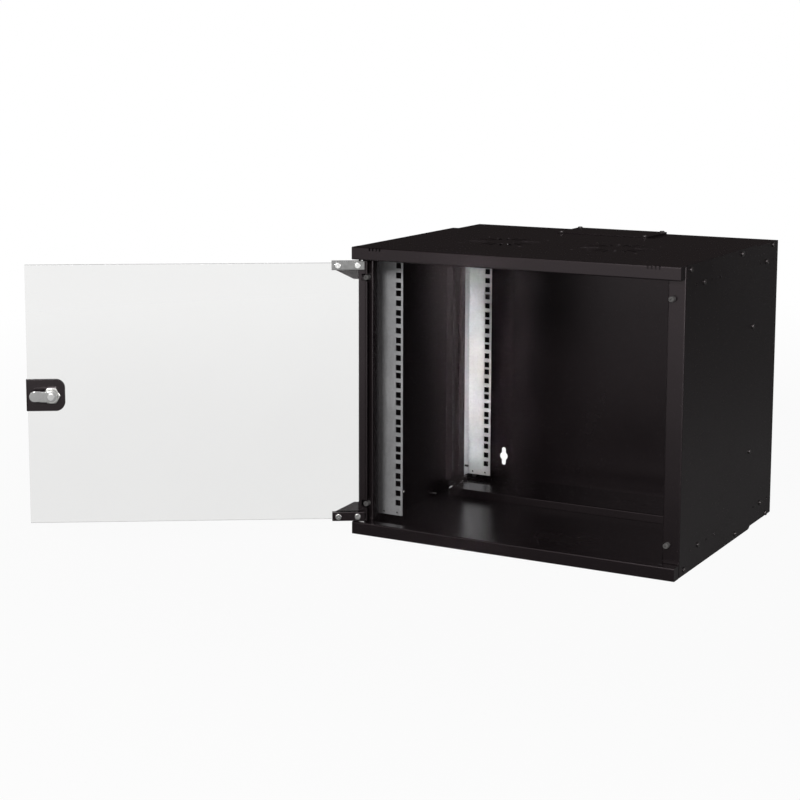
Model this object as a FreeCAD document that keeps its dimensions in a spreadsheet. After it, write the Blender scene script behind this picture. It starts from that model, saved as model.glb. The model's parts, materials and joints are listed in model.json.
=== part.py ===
import FreeCAD, Part
import math
import os
import re
import Sketcher

# Wall mount network cabinet for 19 inch equipment, nine rack units high, with a frameless glass door
# that is hung at its left edge and locked at its right edge.
#
# Frame of the part: +X to the right seen from the front, +Y from the front towards the wall, +Z up.
# The origin is the middle of the rear panel's outer face, which lies flat on the wall.
# All sizes are in millimetres. Depths called "from the front" are counted from the front lips' face,
# and heights called "from the bottom" from the bottom panel's underside.

SIZES = {
    # 19 inch rails, which set the width and the height of the case
    "rack_pitch": 465.1,       # between the hole columns
    "unit_height": 44.45,
    "unit_count": 9.0,
    "hole_size": 9.5,
    "hole_step": 15.875,
    "rack_to_side": 37.45,     # hole column to the outside
    "case_margin": 59.95,      # height of the case beyond its units
    "rail_gauge": 1.5,
    "rail_margin": 8.05,       # rail inside its hole column
    "rail_web": 35.0,
    "rail_front": 84.0,        # face of the front rails, from the front
    "rail_clearance": 3.5,     # rear rails to the stiffeners
    "rail_end_gap": 1.5,       # rail ends to the panels' flanges
    "rail_mark_radius": 1.7,
    "rail_mark_inset": 4.5,    # small holes, from a rail's end
    "rail_mark_edge": 10.0,
    # outer case
    "depth": 450.0,
    "rear_depth": 105.0,       # the rear panel's share of the depth
    "gauge": 1.2,              # sheet of the panels
    "bend_radius": 2.0,        # outer radius of the visible folds
    "lip_height": 20.0,        # front lips of the top and bottom panel
    "lip_depth": 20.0,         # how far back the lips keep the full width
    "lip_return": 18.0,        # fold that closes a lip and carries the hinge pins
    "flange_height": 14.0,     # side flanges of the top and bottom panel
    "flange_clearance": 2.2,
    "slot_width": 2.4,         # short slots across the top front fold
    "slot_pitch": 6.0,
    "slot_reach": 5.0,
    "slot_count": 4.0,
    "slot_inset": 32.0,        # outermost slot, from the side
    # side panels
    "face_gap": 0.6,           # their front faces stand this far behind the lips
    "face_width": 26.3,
    "face_return": 14.4,
    "side_gap": 0.4,           # they end this far inside the top and bottom faces
    "latch_window": 90.0,      # gap in the right return where the lock's cam swings
    # rear panel, a folded tray with deep flanges
    "rear_step_top": 2.6,      # its flanges lie this far inside the top and bottom faces
    "rear_step_bottom": 4.5,
    "rear_step_lead": 7.0,     # the side panels step in this far before the joint
    "rear_lap": 20.0,          # it laps inside the top and bottom panel
    "rear_joggle": 3.0,        # length of the joggle behind that lap
    "rear_side_flange": 30.0,
    "keyhole_head_radius": 7.5,
    "keyhole_slot_radius": 4.0,
    "keyhole_length": 32.0,
    "keyhole_side_inset": 52.5,
    "keyhole_end_inset": 44.0,
    # cable entries in the rear panel's flanges
    "roof_entry_width": 130.0,
    "roof_entry_depth": 60.0,
    "roof_entry_inset": 48.0,  # its middle, from the back
    "floor_entry_width": 132.0,
    "floor_entry_depth": 46.0,
    "floor_entry_inset": 68.0,
    "cover_width": 160.0,
    "cover_depth": 92.0,
    "cover_rise": 3.6,
    "cover_screw_inset": 6.0,
    "plate_width": 150.0,
    "plate_depth": 62.0,
    "plate_thickness": 1.5,
    "plate_corner": 15.0,
    "knockout_radius": 14.0,
    "knockout_pitch": 44.0,
    "knockout_groove": 1.6,
    "knockout_groove_depth": 0.7,
    # fan places in the top panel
    "fan_offset": 96.0,        # from the middle plane
    "fan_middle": 187.0,       # from the front
    "fan_pitch": 105.0,
    "fan_hole_radius": 2.2,
    "vent_inner": 28.0,
    "vent_outer": 56.0,
    "vent_slot_radius": 2.3,
    "vent_count": 20.0,
    # ring frame over the joint between the front and the rear
    "channel_lead": 47.0,      # its front, before the joint
    "channel_top": 15.0,       # from the bottom
    "channel_end_gap": 2.5,    # to the corner brackets
    "channel_gauge": 1.5,
    "stiffener_lead": 23.0,
    "stiffener_depth": 48.0,
    "stiffener_rise": 12.0,
    "stiffener_gauge": 1.5,
    "bracket_lead": 17.0,
    "bracket_height": 21.0,    # its top, from the bottom
    "bracket_gauge": 1.5,
    "bracket_inset": 19.5,     # its upright leg, from the outside
    # screws through the side panels
    "screw_radius": 2.0,
    "screw_fit": 0.1,
    "screw_length": 9.0,
    "head_radius": 4.0,
    "head_height": 2.0,
    "recess_width": 1.1,
    "recess_length": 4.6,
    "recess_depth": 1.1,
    "edge_screw_gap": 0.2,     # panel screws to the rear panel's floor
    "edge_screw_front": 43.0,  # from the front
    "edge_screw_lead": 72.0,   # middle ones, before the joint
    "edge_screw_rear_inset": 24.0,
    "rail_screw_height": 32.0, # from the bottom and from the top
    "rail_screw_inset": 17.0,  # from a front rail's face
    "rail_screw_rear_inset": 12.0,
    "adjust_pitch": 35.0,      # steps in which the rails can be moved
    "adjust_radius": 2.0,
    "brace_screw_inset": 11.0,
    "brace_screw_height": 129.0,
    "bracket_screw_inset": 21.0,
    "bracket_screw_height": 12.5,
    "cover_screw_length": 8.0,
    # rubber bumpers on the side panels' faces
    "bumper_radius": 4.25,
    "bumper_gap": 0.3,         # to the closed glass
    "bumper_round": 1.5,
    "bumper_stem": 2.2,
    "bumper_bulb": 3.2,
    "bumper_inset": 18.5,      # from the side
    "bumper_height": 48.5,     # from the bottom and from the top
    # door
    "hinge_inset": 13.0,       # hinge axis, from the left side
    "hinge_setback": 9.0,      # hinge axis, from the front
    "rest_angle": 147.0,       # how far the door stands open
    "glass_thickness": 4.0,
    "glass_start": 5.3,        # from the hinge axis
    "glass_edge_gap": 2.0,     # its fittings end this far inside the right side of the case
    "glass_gap": 5.0,          # glass to lips
    "frame_gauge": 2.0,
    "frame_gap": 2.0,          # hinge frame to lips
    "frame_outer": 8.2,        # hinge bar, outwards from the axis
    "frame_inner": 4.3,
    "frame_rim": 11.3,         # depth of the rim folded along the bar
    "relief": 1.25,            # room round the bumpers in the bar
    "arm_length": 47.0,
    "arm_height": 14.0,
    "gusset_height": 15.0,
    "gusset_start": 12.0,
    "gusset_end": 42.0,
    "pad_thickness": 0.8,
    "clamp_gauge": 2.5,
    "clamp_start": -4.0,
    "clamp_round": 0.8,
    "clamp_screw_near": 6.8,
    "clamp_screw_far": 37.5,
    "clamp_head_radius": 4.8,
    "clamp_head_height": 2.6,
    "clamp_nut_flats": 7.0,
    "clamp_nut_height": 2.4,
    "notch_radius": 3.2,       # notches in the glass round the clamp screws
    "pin_radius": 2.4,
    "pin_fit": 0.06,
    "pin_reach": 8.0,          # beyond the hinge frame
    "washer_radius": 6.5,
    "washer_clearance": 0.3,
    # lock
    "lock_inset": 38.0,        # barrel axis, from the glass edge
    "lock_plate_length": 60.0,
    "lock_plate_height": 50.0,
    "lock_plate_corner": 14.0,
    "lock_plate_gauge": 1.5,
    "lock_lining": 0.5,
    "barrel_radius": 9.5,
    "barrel_fit": 0.1,
    "barrel_head_radius": 13.0,
    "barrel_head_height": 2.2,
    "barrel_rear": 16.0,       # its end, from the glass middle
    "nut_flats": 24.0,
    "nut_height": 6.0,
    "plug_radius": 6.0,
    "plug_fit": 0.05,
    "key_slot_width": 1.6,
    "key_slot_length": 8.0,
    "key_slot_depth": 2.0,
    "cam_width": 16.6,
    "cam_reach": 34.0,
    "cam_gauge": 2.5,
    "cam_joggle_start": 14.0,
    "cam_joggle_end": 19.0,
    "cam_joggle": 3.0,
    "cam_gap": 0.3,
    "cam_bolt_flats": 10.0,
    "cam_bolt_height": 3.6,
    "cam_bolt_radius": 2.5,
}

# Sizes that follow from the ones above, each as a rule. Depths among them are counted from the front.
RULES = {
    "width": "(rack_pitch + 2 * rack_to_side)",
    "height": "(unit_count * unit_height + case_margin)",
    "panel_depth": "(depth - rear_depth)",
    "face_setback": "(lip_depth + face_gap)",
    "flange_start": "(face_setback + gauge + flange_clearance)",
    "rear_step_start": "(panel_depth - rear_step_lead)",
    "channel_start": "(panel_depth - channel_lead)",
    "channel_end": "(panel_depth + channel_gauge)",
    "channel_length": "(width - 2 * (bracket_inset + channel_end_gap))",
    "stiffener_start": "(panel_depth - stiffener_lead)",
    "stiffener_end": "(stiffener_start + stiffener_depth)",
    "bracket_start": "(panel_depth - bracket_lead)",
    "rail_rear": "(stiffener_end + rail_clearance + rail_web - rail_gauge)",
    "rail_face": "(rack_to_side + rail_margin - gauge)",
    "rail_end": "(flange_height + rail_end_gap)",
    "roof_entry_middle": "(depth - roof_entry_inset)",
    "floor_entry_middle": "(depth - floor_entry_inset)",
    "keyhole_pitch_across": "(width - 2 * keyhole_side_inset)",
    "keyhole_pitch_up": "(height - 2 * keyhole_end_inset)",
    "edge_screw_middle": "(panel_depth - edge_screw_lead)",
    "edge_screw_rear": "(depth - edge_screw_rear_inset)",
    "edge_screw_inset": "(rear_step_bottom + gauge + screw_radius + screw_fit + edge_screw_gap)",
    "bumper_length": "(face_setback - hinge_setback - glass_thickness / 2 - bumper_gap)",
}

doc = FreeCAD.newDocument("wall_network_cabinet")
sheet = doc.addObject("Spreadsheet::Sheet", "Sizes")
for row, (alias, number) in enumerate(SIZES.items(), start=1):
    sheet.set(f"A{row}", alias)
    sheet.set(f"B{row}", str(number))
    sheet.setAlias(f"B{row}", alias)
doc.recompute()


def spelt(rule):
    """The rule with each size that follows from others spelt out."""
    def word(found):
        return spelt(RULES[found.group()]) if found.group() in RULES else found.group()
    return re.sub(r"[a-z_][a-z_0-9]*", word, str(rule))


def linked(rule):
    """The rule with each size written as the sheet's cell."""
    def cell(found):
        return f"Sizes.{found.group()}" if found.group() in SIZES else found.group()
    return re.sub(r"[a-z_][a-z_0-9]*", cell, spelt(rule))


def worth(rule):
    """The rule's present value."""
    return float(sheet.evalExpression(spelt(rule)))


def front(rule):
    """Row Y of a depth counted from the front."""
    return f"(({rule}) - depth)"


def up(rule, end=-1):
    """Row Z of a distance counted in from the bottom (end -1) or from the top (end 1)."""
    return f"({end} * (height / 2 - ({rule})))"


HALF = "(width / 2)"
INNER = "(width / 2 - gauge)"          # inner face of a side panel
parts = {}


def keep(item, label):
    """Names a finished sub-part and lists it for export."""
    item.Label = label
    parts[label] = item
    return item


# Outlines: each adds its lines to a sketch and ties them to the sheet.

def tie(sketch, kind, geometry, point, rule):
    """One dimension of a sketch, measured from its origin and bound to a rule."""
    index = sketch.addConstraint(Sketcher.Constraint(kind, -1, 1, geometry, point, worth(rule)))
    sketch.setExpression(f"Constraints[{index}]", linked(rule))


def polygon(*corners):
    """A closed outline through corners given as pairs of rules."""
    def draw(sketch):
        spots = [FreeCAD.Vector(worth(x), worth(y), 0) for x, y in corners]
        first = sketch.GeometryCount
        count = len(spots)
        for index in range(count):
            sketch.addGeometry(Part.LineSegment(spots[index], spots[(index + 1) % count]), False)
        for index in range(count):
            following = first + (index + 1) % count
            sketch.addConstraint(Sketcher.Constraint("Coincident", first + index, 2, following, 1))
        for index, (x, y) in enumerate(corners):
            tie(sketch, "DistanceX", first + index, 1, x)
            tie(sketch, "DistanceY", first + index, 1, y)
    return draw


def rectangle(x0, x1, y0, y1):
    """A rectangle between two rules along each direction."""
    return polygon((x0, y0), (x1, y0), (x1, y1), (x0, y1))


def circle(x, y, radius):
    """A circle with its centre and radius given as rules."""
    def draw(sketch):
        centre = FreeCAD.Vector(worth(x), worth(y), 0)
        added = sketch.addGeometry(Part.Circle(centre, FreeCAD.Vector(0, 0, 1), worth(radius)), False)
        tie(sketch, "DistanceX", added, 3, x)
        tie(sketch, "DistanceY", added, 3, y)
        index = sketch.addConstraint(Sketcher.Constraint("Radius", added, worth(radius)))
        sketch.setExpression(f"Constraints[{index}]", linked(radius))
    return draw


def hexagon(x, y, flats):
    """A hexagon with two corners along the first direction."""
    return polygon(*[
        (f"({x}) + ({flats}) / sqrt(3) * {math.cos(math.radians(turn)):.9f}",
         f"({y}) + ({flats}) / sqrt(3) * {math.sin(math.radians(turn)):.9f}")
        for turn in range(0, 360, 60)
    ])


def hang(item):
    """Places an item drawn in the door's own frame: x from the hinge axis, y inwards."""
    item.setExpression("Placement.Base.x", linked("hinge_inset - width / 2"))
    item.setExpression("Placement.Base.y", linked(front("hinge_setback")))
    item.setExpression("Placement.Rotation.Angle", linked("-rest_angle"))
    doc.recompute()
    return item


class Piece:
    """A body built from sketches on its own origin planes.

    A pad or a pocket runs between two rules along its plane's axis: XY along Z, XZ along Y, YZ along X.
    """

    def __init__(self, label, exported=True):
        self.label = label
        self.body = doc.addObject("PartDesign::Body", label)
        if exported:
            keep(self.body, label)

    def sketch(self, plane, level, outlines, centre=("0", "0")):
        """A sketch parallel to an origin plane at a level along the plane's own normal."""
        made = self.body.newObject("Sketcher::SketchObject", f"{self.label}_sketch")
        origin_plane = next(x for x in self.body.Origin.OriginFeatures if x.Role == f"{plane}_Plane")
        made.AttachmentSupport = (origin_plane, [""])
        made.MapMode = "FlatFace"
        made.setExpression("AttachmentOffset.Base.x", linked(centre[0]))
        made.setExpression("AttachmentOffset.Base.y", linked(centre[1]))
        made.setExpression("AttachmentOffset.Base.z", linked(level))
        for outline in outlines:
            outline(made)
        return made

    def feature(self, kind, plane, ends, outlines, centre=("0", "0")):
        """A pad or pocket between two rules; its volume has to change as it should."""
        low, high = sorted(ends, key=worth)
        if plane == "XZ":
            level = f"-({low})" if kind == "Pocket" else f"-({high})"
        else:
            level = high if kind == "Pocket" else low
        before = self.body.Shape.Volume if self.body.Tip else 0.0
        profile = self.sketch(plane, level, outlines, centre)
        made = self.body.newObject(f"PartDesign::{kind}", f"{self.label}_{kind.lower()}")
        made.Profile = profile
        made.setExpression("Length", linked(f"({high}) - ({low})"))
        doc.recompute()
        change = self.body.Shape.Volume - before
        if (change > 0) != (kind == "Pad") or abs(change) < 1e-6:
            raise ValueError(f"{self.label}: a {kind} changes the volume by {change:.3f}")
        return made

    def pad(self, plane, start, end, *outlines):
        """Adds material between two rules."""
        return self.feature("Pad", plane, (start, end), outlines)

    def pocket(self, plane, start, end, *outlines, centre=("0", "0")):
        """Takes material away between two rules."""
        return self.feature("Pocket", plane, (start, end), outlines, centre)

    def repeat(self, feature, step, count, axis="V_Axis"):
        """Repeats a feature in a row along an axis of its sketch."""
        row = self.body.newObject("PartDesign::LinearPattern", f"{self.label}_row")
        row.Originals = [feature]
        row.Direction = (feature.Profile[0], [axis])
        row.setExpression("Length", linked(f"({step}) * ({count} - 1)"))
        row.setExpression("Occurrences", linked(count))
        self.body.Tip = row
        doc.recompute()
        return row

    def spin(self, feature, count):
        """Repeats a feature all round the origin of its sketch."""
        ring = self.body.newObject("PartDesign::PolarPattern", f"{self.label}_ring")
        ring.Originals = [feature]
        ring.Axis = (feature.Profile[0], ["N_Axis"])
        ring.Angle = 360
        ring.setExpression("Occurrences", linked(count))
        self.body.Tip = ring
        doc.recompute()
        return ring

    def round(self, radius, chosen):
        """Rounds the edges that a test on their two end points picks."""
        base = self.body.Tip
        names = [
            f"Edge{index}"
            for index, edge in enumerate(base.Shape.Edges, start=1)
            if len(edge.Vertexes) == 2 and chosen(edge.Vertexes[0].Point, edge.Vertexes[1].Point)
        ]
        if not names:
            raise ValueError(f"{self.label}: no edge to round")
        fillet = self.body.newObject("PartDesign::Fillet", f"{self.label}_fillet")
        fillet.Base = (base, names)
        fillet.setExpression("Radius", linked(radius))
        doc.recompute()
        return fillet


def along(direction, *levels):
    """A test for edges parallel to an axis (0, 1, 2) at given values of the two other coordinates."""
    others = [axis for axis in range(3) if axis != direction]
    wanted = [tuple(worth(rule) for rule in level) for level in levels]

    def test(one, two):
        if any(abs(one[axis] - two[axis]) > 1e-6 for axis in others):
            return False
        return any(all(abs(one[a] - v) < 1e-4 for a, v in zip(others, level)) for level in wanted)
    return test


# Screws: one template, then a link for each place.

def screw_template(name, radius, length, head_radius, head_height):
    """A pan head screw along +Z with its seat at z 0 and a cross recess."""
    shank = doc.addObject("Part::Cylinder", f"{name}_shank")
    shank.setExpression("Radius", linked(radius))
    shank.setExpression("Height", linked(length))
    shank.setExpression("Placement.Base.z", linked(f"-({length})"))
    rim = doc.addObject("Part::Cylinder", f"{name}_rim")
    rim.setExpression("Radius", linked(head_radius))
    rim.setExpression("Height", linked(f"({head_height}) / 2"))
    crown = doc.addObject("Part::Cone", f"{name}_crown")
    crown.setExpression("Radius1", linked(head_radius))
    crown.setExpression("Radius2", linked(f"({head_radius}) * 0.72"))
    crown.setExpression("Height", linked(f"({head_height}) / 2"))
    crown.setExpression("Placement.Base.z", linked(f"({head_height}) / 2"))
    blank = doc.addObject("Part::MultiFuse", f"{name}_blank")
    blank.Shapes = [shank, rim, crown]
    bars = []
    for turn in range(2):
        bar = doc.addObject("Part::Box", f"{name}_bar")
        sides = ("recess_length", "recess_width")
        bar.setExpression("Length", linked(sides[turn]))
        bar.setExpression("Width", linked(sides[1 - turn]))
        bar.setExpression("Height", linked("recess_depth"))
        bar.setExpression("Placement.Base.x", linked(f"-{sides[turn]} / 2"))
        bar.setExpression("Placement.Base.y", linked(f"-{sides[1 - turn]} / 2"))
        bar.setExpression("Placement.Base.z", linked(f"({head_height}) - recess_depth"))
        bars.append(bar)
    cross = doc.addObject("Part::MultiFuse", f"{name}_cross")
    cross.Shapes = bars
    screw = doc.addObject("Part::Cut", name)
    screw.Base = blank
    screw.Tool = cross
    doc.recompute()
    return screw


def group(label, template, places):
    """A node of equal solids: each place is three rules and the way that local +Z points."""
    links = []
    for x, y, z, way in places:
        link = doc.addObject("App::Link", f"{label}_item")
        link.LinkedObject = template
        turn = FreeCAD.Rotation(FreeCAD.Vector(0, 0, 1), FreeCAD.Vector(*way))
        link.Placement = FreeCAD.Placement(FreeCAD.Vector(), turn)
        link.setExpression("Placement.Base.x", linked(x))
        link.setExpression("Placement.Base.y", linked(y))
        link.setExpression("Placement.Base.z", linked(z))
        links.append(link)
    bundle = doc.addObject("Part::Compound", label)
    bundle.Links = links
    doc.recompute()
    return keep(bundle, label)


# Top and bottom panel

def shell_panel(label, end):
    """The bottom (end -1) or top (end 1) panel: plate, front lip, end tabs and side flanges."""
    panel = Piece(label)
    panel.pad(
        "YZ", f"-{HALF}", HALF,
        polygon(
            (front("0"), up("0", end)),
            (front("lip_depth"), up("0", end)),
            (front("lip_depth"), up("gauge", end)),
            (front("gauge"), up("gauge", end)),
            (front("gauge"), up("lip_height - gauge", end)),
            (front("lip_return"), up("lip_height - gauge", end)),
            (front("lip_return"), up("lip_height", end)),
            (front("0"), up("lip_height", end)),
        ),
    )
    panel.round(
        "bend_radius",
        along(0, (front("0"), up("0", end)), (front("0"), up("lip_height", end))),
    )
    panel.pad(
        "XY", up("0", end), up("gauge", end),
        rectangle(f"-{INNER}", INNER, front("lip_depth"), front("panel_depth")),
    )
    tab = rectangle(front("gauge"), front("lip_return"), up("gauge", end), up("lip_height - gauge", end))
    flange = rectangle(
        front("flange_start"), front("panel_depth - rear_lap - gauge"),
        up("gauge", end), up("flange_height", end),
    )
    hole_height = up("edge_screw_inset", end)
    holes = [
        circle(front(spot), hole_height, "screw_radius + screw_fit")
        for spot in ("edge_screw_front", "edge_screw_middle")
    ]
    for side in (-1, 1):
        panel.pad("YZ", f"{side} * {INNER}", f"{side} * {HALF}", tab)
        panel.pad("YZ", f"{side} * ({INNER} - gauge)", f"{side} * {INNER}", flange)
        panel.pocket("YZ", f"{side} * ({INNER} - gauge)", f"{side} * {INNER}", *holes)
    panel.pocket(
        "XY", up("lip_height", end), up("lip_height - gauge", end),
        circle("hinge_inset - width / 2", front("hinge_setback"), "pin_radius + pin_fit"),
    )
    return panel


def add_fan_places(panel):
    """Two fan places: four fixing holes and a ring of radial slots each."""
    plate = (up("gauge", 1), up("0", 1))
    for side in (-1, 1):
        middle = (f"{side} * fan_offset", front("fan_middle"))
        panel.pocket(
            "XY", *plate,
            *[circle(f"{a} * fan_pitch / 2", f"{b} * fan_pitch / 2", "fan_hole_radius")
              for a in (-1, 1) for b in (-1, 1)],
            centre=middle,
        )
        slot = panel.pocket(
            "XY", *plate,
            rectangle("vent_inner", "vent_outer", "-vent_slot_radius", "vent_slot_radius"),
            centre=middle,
        )
        panel.spin(slot, "vent_count")


def add_fold_slots(panel):
    """Rows of short slots across the front fold, near both ends."""
    span = (up("slot_reach", 1), up("0", 1))
    for side in (-1, 1):
        slot = panel.pocket(
            "XY", *span,
            rectangle("-slot_width / 2", "slot_width / 2", "0", "slot_reach"),
            centre=(f"{side} * ({HALF} - slot_inset)", front("0")),
        )
        row = panel.repeat(slot, "slot_pitch", "slot_count", "H_Axis")
        row.Reversed = side > 0
        doc.recompute()


shell_panel("bottom_panel", -1)
top_panel = shell_panel("top_panel", 1)
add_fold_slots(top_panel)
add_fan_places(top_panel)

# Side panels

SIDE_SCREWS = [
    (front(spot), up("edge_screw_inset", end))
    for end in (-1, 1)
    for spot in ("edge_screw_front", "edge_screw_middle", "edge_screw_rear")
]
RAIL_SCREWS = [
    (front(spot), up("rail_screw_height", end))
    for end in (-1, 1)
    for spot in ("rail_front + rail_screw_inset", "rail_rear - rail_screw_rear_inset")
]
BRACE_SCREWS = [
    (front("stiffener_start + brace_screw_inset"), up("brace_screw_height", end)) for end in (-1, 1)
]
ADJUST_HOLES = [
    (front(f"{spot} + {step} * adjust_pitch"), up("rail_screw_height", end))
    for end in (-1, 1)
    for spot, steps in (
        ("rail_front + rail_screw_inset", (-1, 1, 2)),
        ("rail_rear - rail_screw_rear_inset", (-1, 1)),
    )
    for step in steps
]


def side_panel(label, side):
    """A side panel with its front face, the return behind it and the stepped rear part."""
    panel = Piece(label)
    panel.pad(
        "YZ", f"{side} * {INNER}", f"{side} * {HALF}",
        polygon(
            (front("face_setback"), up("side_gap")),
            (front("rear_step_start"), up("side_gap")),
            (front("rear_step_start"), up("rear_step_bottom")),
            (front("depth"), up("rear_step_bottom")),
            (front("depth"), up("rear_step_top", 1)),
            (front("rear_step_start"), up("rear_step_top", 1)),
            (front("rear_step_start"), up("side_gap", 1)),
            (front("face_setback"), up("side_gap", 1)),
        ),
    )
    face_edge = f"({HALF} - face_width)"
    panel.pad(
        "XZ", front("face_setback"), front("face_setback + gauge"),
        rectangle(f"{side} * {face_edge}", f"{side} * {INNER}", up("gauge"), up("gauge", 1)),
    )
    panel.pad(
        "YZ", f"{side} * {face_edge}", f"{side} * ({face_edge} + gauge)",
        rectangle(
            front("face_setback + gauge"), front("face_setback + face_return"),
            up("lip_height + gauge"), up("lip_height + gauge", 1),
        ),
    )
    panel.round(
        "bend_radius",
        along(2, *[(f"{side} * {edge}", front("face_setback")) for edge in (HALF, face_edge)]),
    )
    if side > 0:
        panel.pocket(
            "YZ", face_edge, f"({face_edge} + gauge)",
            rectangle(
                front("face_setback + gauge"), front("face_setback + face_return"),
                "-latch_window / 2", "latch_window / 2",
            ),
        )
    threaded = [
        circle(y, z, "screw_radius + screw_fit") for y, z in SIDE_SCREWS + RAIL_SCREWS + BRACE_SCREWS
    ]
    spare = [circle(y, z, "adjust_radius") for y, z in ADJUST_HOLES]
    panel.pocket("YZ", f"{side} * {INNER}", f"{side} * {HALF}", *threaded, *spare)
    panel.pocket(
        "XZ", front("face_setback"), front("face_setback + gauge"),
        *[circle(f"{side} * ({HALF} - bumper_inset)", up("bumper_height", end), "bumper_stem + screw_fit")
          for end in (-1, 1)],
    )
    return panel


SIDES = (("left", -1), ("right", 1))
for side_name, side_sign in SIDES:
    side_panel(f"side_panel_{side_name}", side_sign)

# Rear panel

STEP = {-1: "rear_step_bottom", 1: "rear_step_top"}
BEND_START = front("channel_end")
BEND_END = front("channel_end + rear_joggle")
COVER_SCREWS = [
    (f"{a} * (cover_width / 2 - cover_screw_inset)",
     front(f"roof_entry_middle + {b} * (cover_depth / 2 - cover_screw_inset)"))
    for a in (-1, 1) for b in (-1, 1)
]


def shelf(end):
    """Row Z of the inner face of a rear panel flange."""
    return up(f"{STEP[end]} + gauge", end)


def entry(name, end):
    """The opening for cables in a rear panel flange: the plane's span and the outline."""
    edge = f"{name}_entry_depth / 2"
    opening = rectangle(
        f"-{name}_entry_width / 2", f"{name}_entry_width / 2",
        front(f"{name}_entry_middle - {edge}"), front(f"{name}_entry_middle + {edge}"),
    )
    return up(STEP[end], end), shelf(end), opening


def rear_panel():
    """A tray open to the front: back plate, deep flanges that lap inside the panels, side flanges."""
    panel = Piece("rear_panel")
    lap_start = front("panel_depth - rear_lap")
    outer, inner = {}, {}
    for end in (-1, 1):
        outer[end] = [
            (lap_start, up("gauge", end)), (BEND_START, up("gauge", end)),
            (BEND_END, up(STEP[end], end)), (front("depth"), up(STEP[end], end)),
        ]
        inner[end] = [
            (front("depth - gauge"), shelf(end)), (BEND_END, shelf(end)),
            (BEND_START, up("2 * gauge", end)), (lap_start, up("2 * gauge", end)),
        ]
    panel.pad(
        "YZ", f"-{INNER}", INNER,
        polygon(*outer[-1], *reversed(outer[1]), *reversed(inner[1]), *inner[-1]),
    )
    flange = rectangle(front("depth - rear_side_flange"), front("depth - gauge"), shelf(-1), shelf(1))
    holes = [
        circle(front("edge_screw_rear"), up("edge_screw_inset", end), "screw_radius + screw_fit")
        for end in (-1, 1)
    ]
    for side in (-1, 1):
        span = (f"{side} * ({INNER} - gauge)", f"{side} * {INNER}")
        panel.pad("YZ", *span, flange)
        panel.pocket("YZ", *span, *holes)
    plate = (front("depth - gauge"), front("depth"))
    reach = "(keyhole_length / 2 - keyhole_slot_radius)"
    for a in (-1, 1):
        for b in (-1, 1):
            spot = (f"{a} * keyhole_pitch_across / 2", f"{b} * keyhole_pitch_up / 2")
            panel.pocket("XZ", *plate, circle("0", "0", "keyhole_head_radius"), centre=spot)
            panel.pocket(
                "XZ", *plate,
                rectangle("-keyhole_slot_radius", "keyhole_slot_radius", f"-{reach}", reach),
                centre=spot,
            )
            panel.pocket(
                "XZ", *plate,
                circle("0", reach, "keyhole_slot_radius"), circle("0", f"-{reach}", "keyhole_slot_radius"),
                centre=spot,
            )
    panel.pocket("XY", *entry("floor", -1))
    panel.pocket("XY", *entry("roof", 1))
    panel.pocket(
        "XY", up(STEP[1], 1), shelf(1),
        *[circle(x, y, "screw_radius + screw_fit") for x, y in COVER_SCREWS],
    )
    return panel


rear_panel()

# Cable entry covers


def cover_piece():
    """The folded cover over the top cable entry: a lid with its rims turned down on to the flange."""
    cover = Piece("top_cable_cover")
    low, high = up("rear_step_top", 1), up("rear_step_top - cover_rise", 1)
    spread, reach = "(cover_width / 2)", "(cover_depth / 2)"
    near, far = front(f"roof_entry_middle - {reach}"), front(f"roof_entry_middle + {reach}")
    cover.pad("XY", low, high, rectangle(f"-{spread}", spread, near, far))
    cover.pocket(
        "XY", low, f"{high} - gauge",
        rectangle(f"gauge - {spread}", f"{spread} - gauge", f"{near} + gauge", f"{far} - gauge"),
    )
    cover.pocket("XY", low, high, *[circle(x, y, "screw_radius + screw_fit") for x, y in COVER_SCREWS])
    return cover


def entry_plate():
    """The plate over the bottom cable entry, with three knock-outs outlined by grooves."""
    plate = Piece("bottom_cable_plate")
    low, high = shelf(-1), up("rear_step_bottom + gauge + plate_thickness")
    edges = ("-plate_width / 2", "plate_width / 2")
    near = front("floor_entry_middle - plate_depth / 2")
    far = front("floor_entry_middle + plate_depth / 2")
    plate.pad("XY", low, high, rectangle(*edges, near, far))
    plate.round("plate_corner", along(2, *[(x, y) for x in edges for y in (near, far)]))
    for step in (-1, 0, 1):
        spot = (f"{step} * knockout_pitch", front("floor_entry_middle"))
        plate.pocket(
            "XY", f"{high} - knockout_groove_depth", high,
            circle(*spot, "knockout_radius"), circle(*spot, "knockout_radius - knockout_groove"),
        )
    return plate


cover_piece()
entry_plate()

# Ring frame: channels on the floor and under the roof, stiffeners up the sides, corner brackets


def cross_channel(label, end):
    """A channel that bridges the joint between a panel and the rear panel's flange."""
    channel = Piece(label)
    start, finish = front("channel_start"), BEND_START
    front_in, rear_in = front("channel_start + channel_gauge"), front("panel_depth")
    crest, underside = up("channel_top", end), up("channel_top - channel_gauge", end)
    channel.pad(
        "YZ", "-channel_length / 2", "channel_length / 2",
        polygon(
            (start, up("gauge", end)), (front_in, up("gauge", end)),
            (front_in, underside), (rear_in, underside),
            (rear_in, up("2 * gauge", end)), (finish, up("2 * gauge", end)),
            (finish, crest), (start, crest),
        ),
    )
    channel.round("bend_radius", along(0, (start, crest), (finish, crest)))
    return channel


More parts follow.
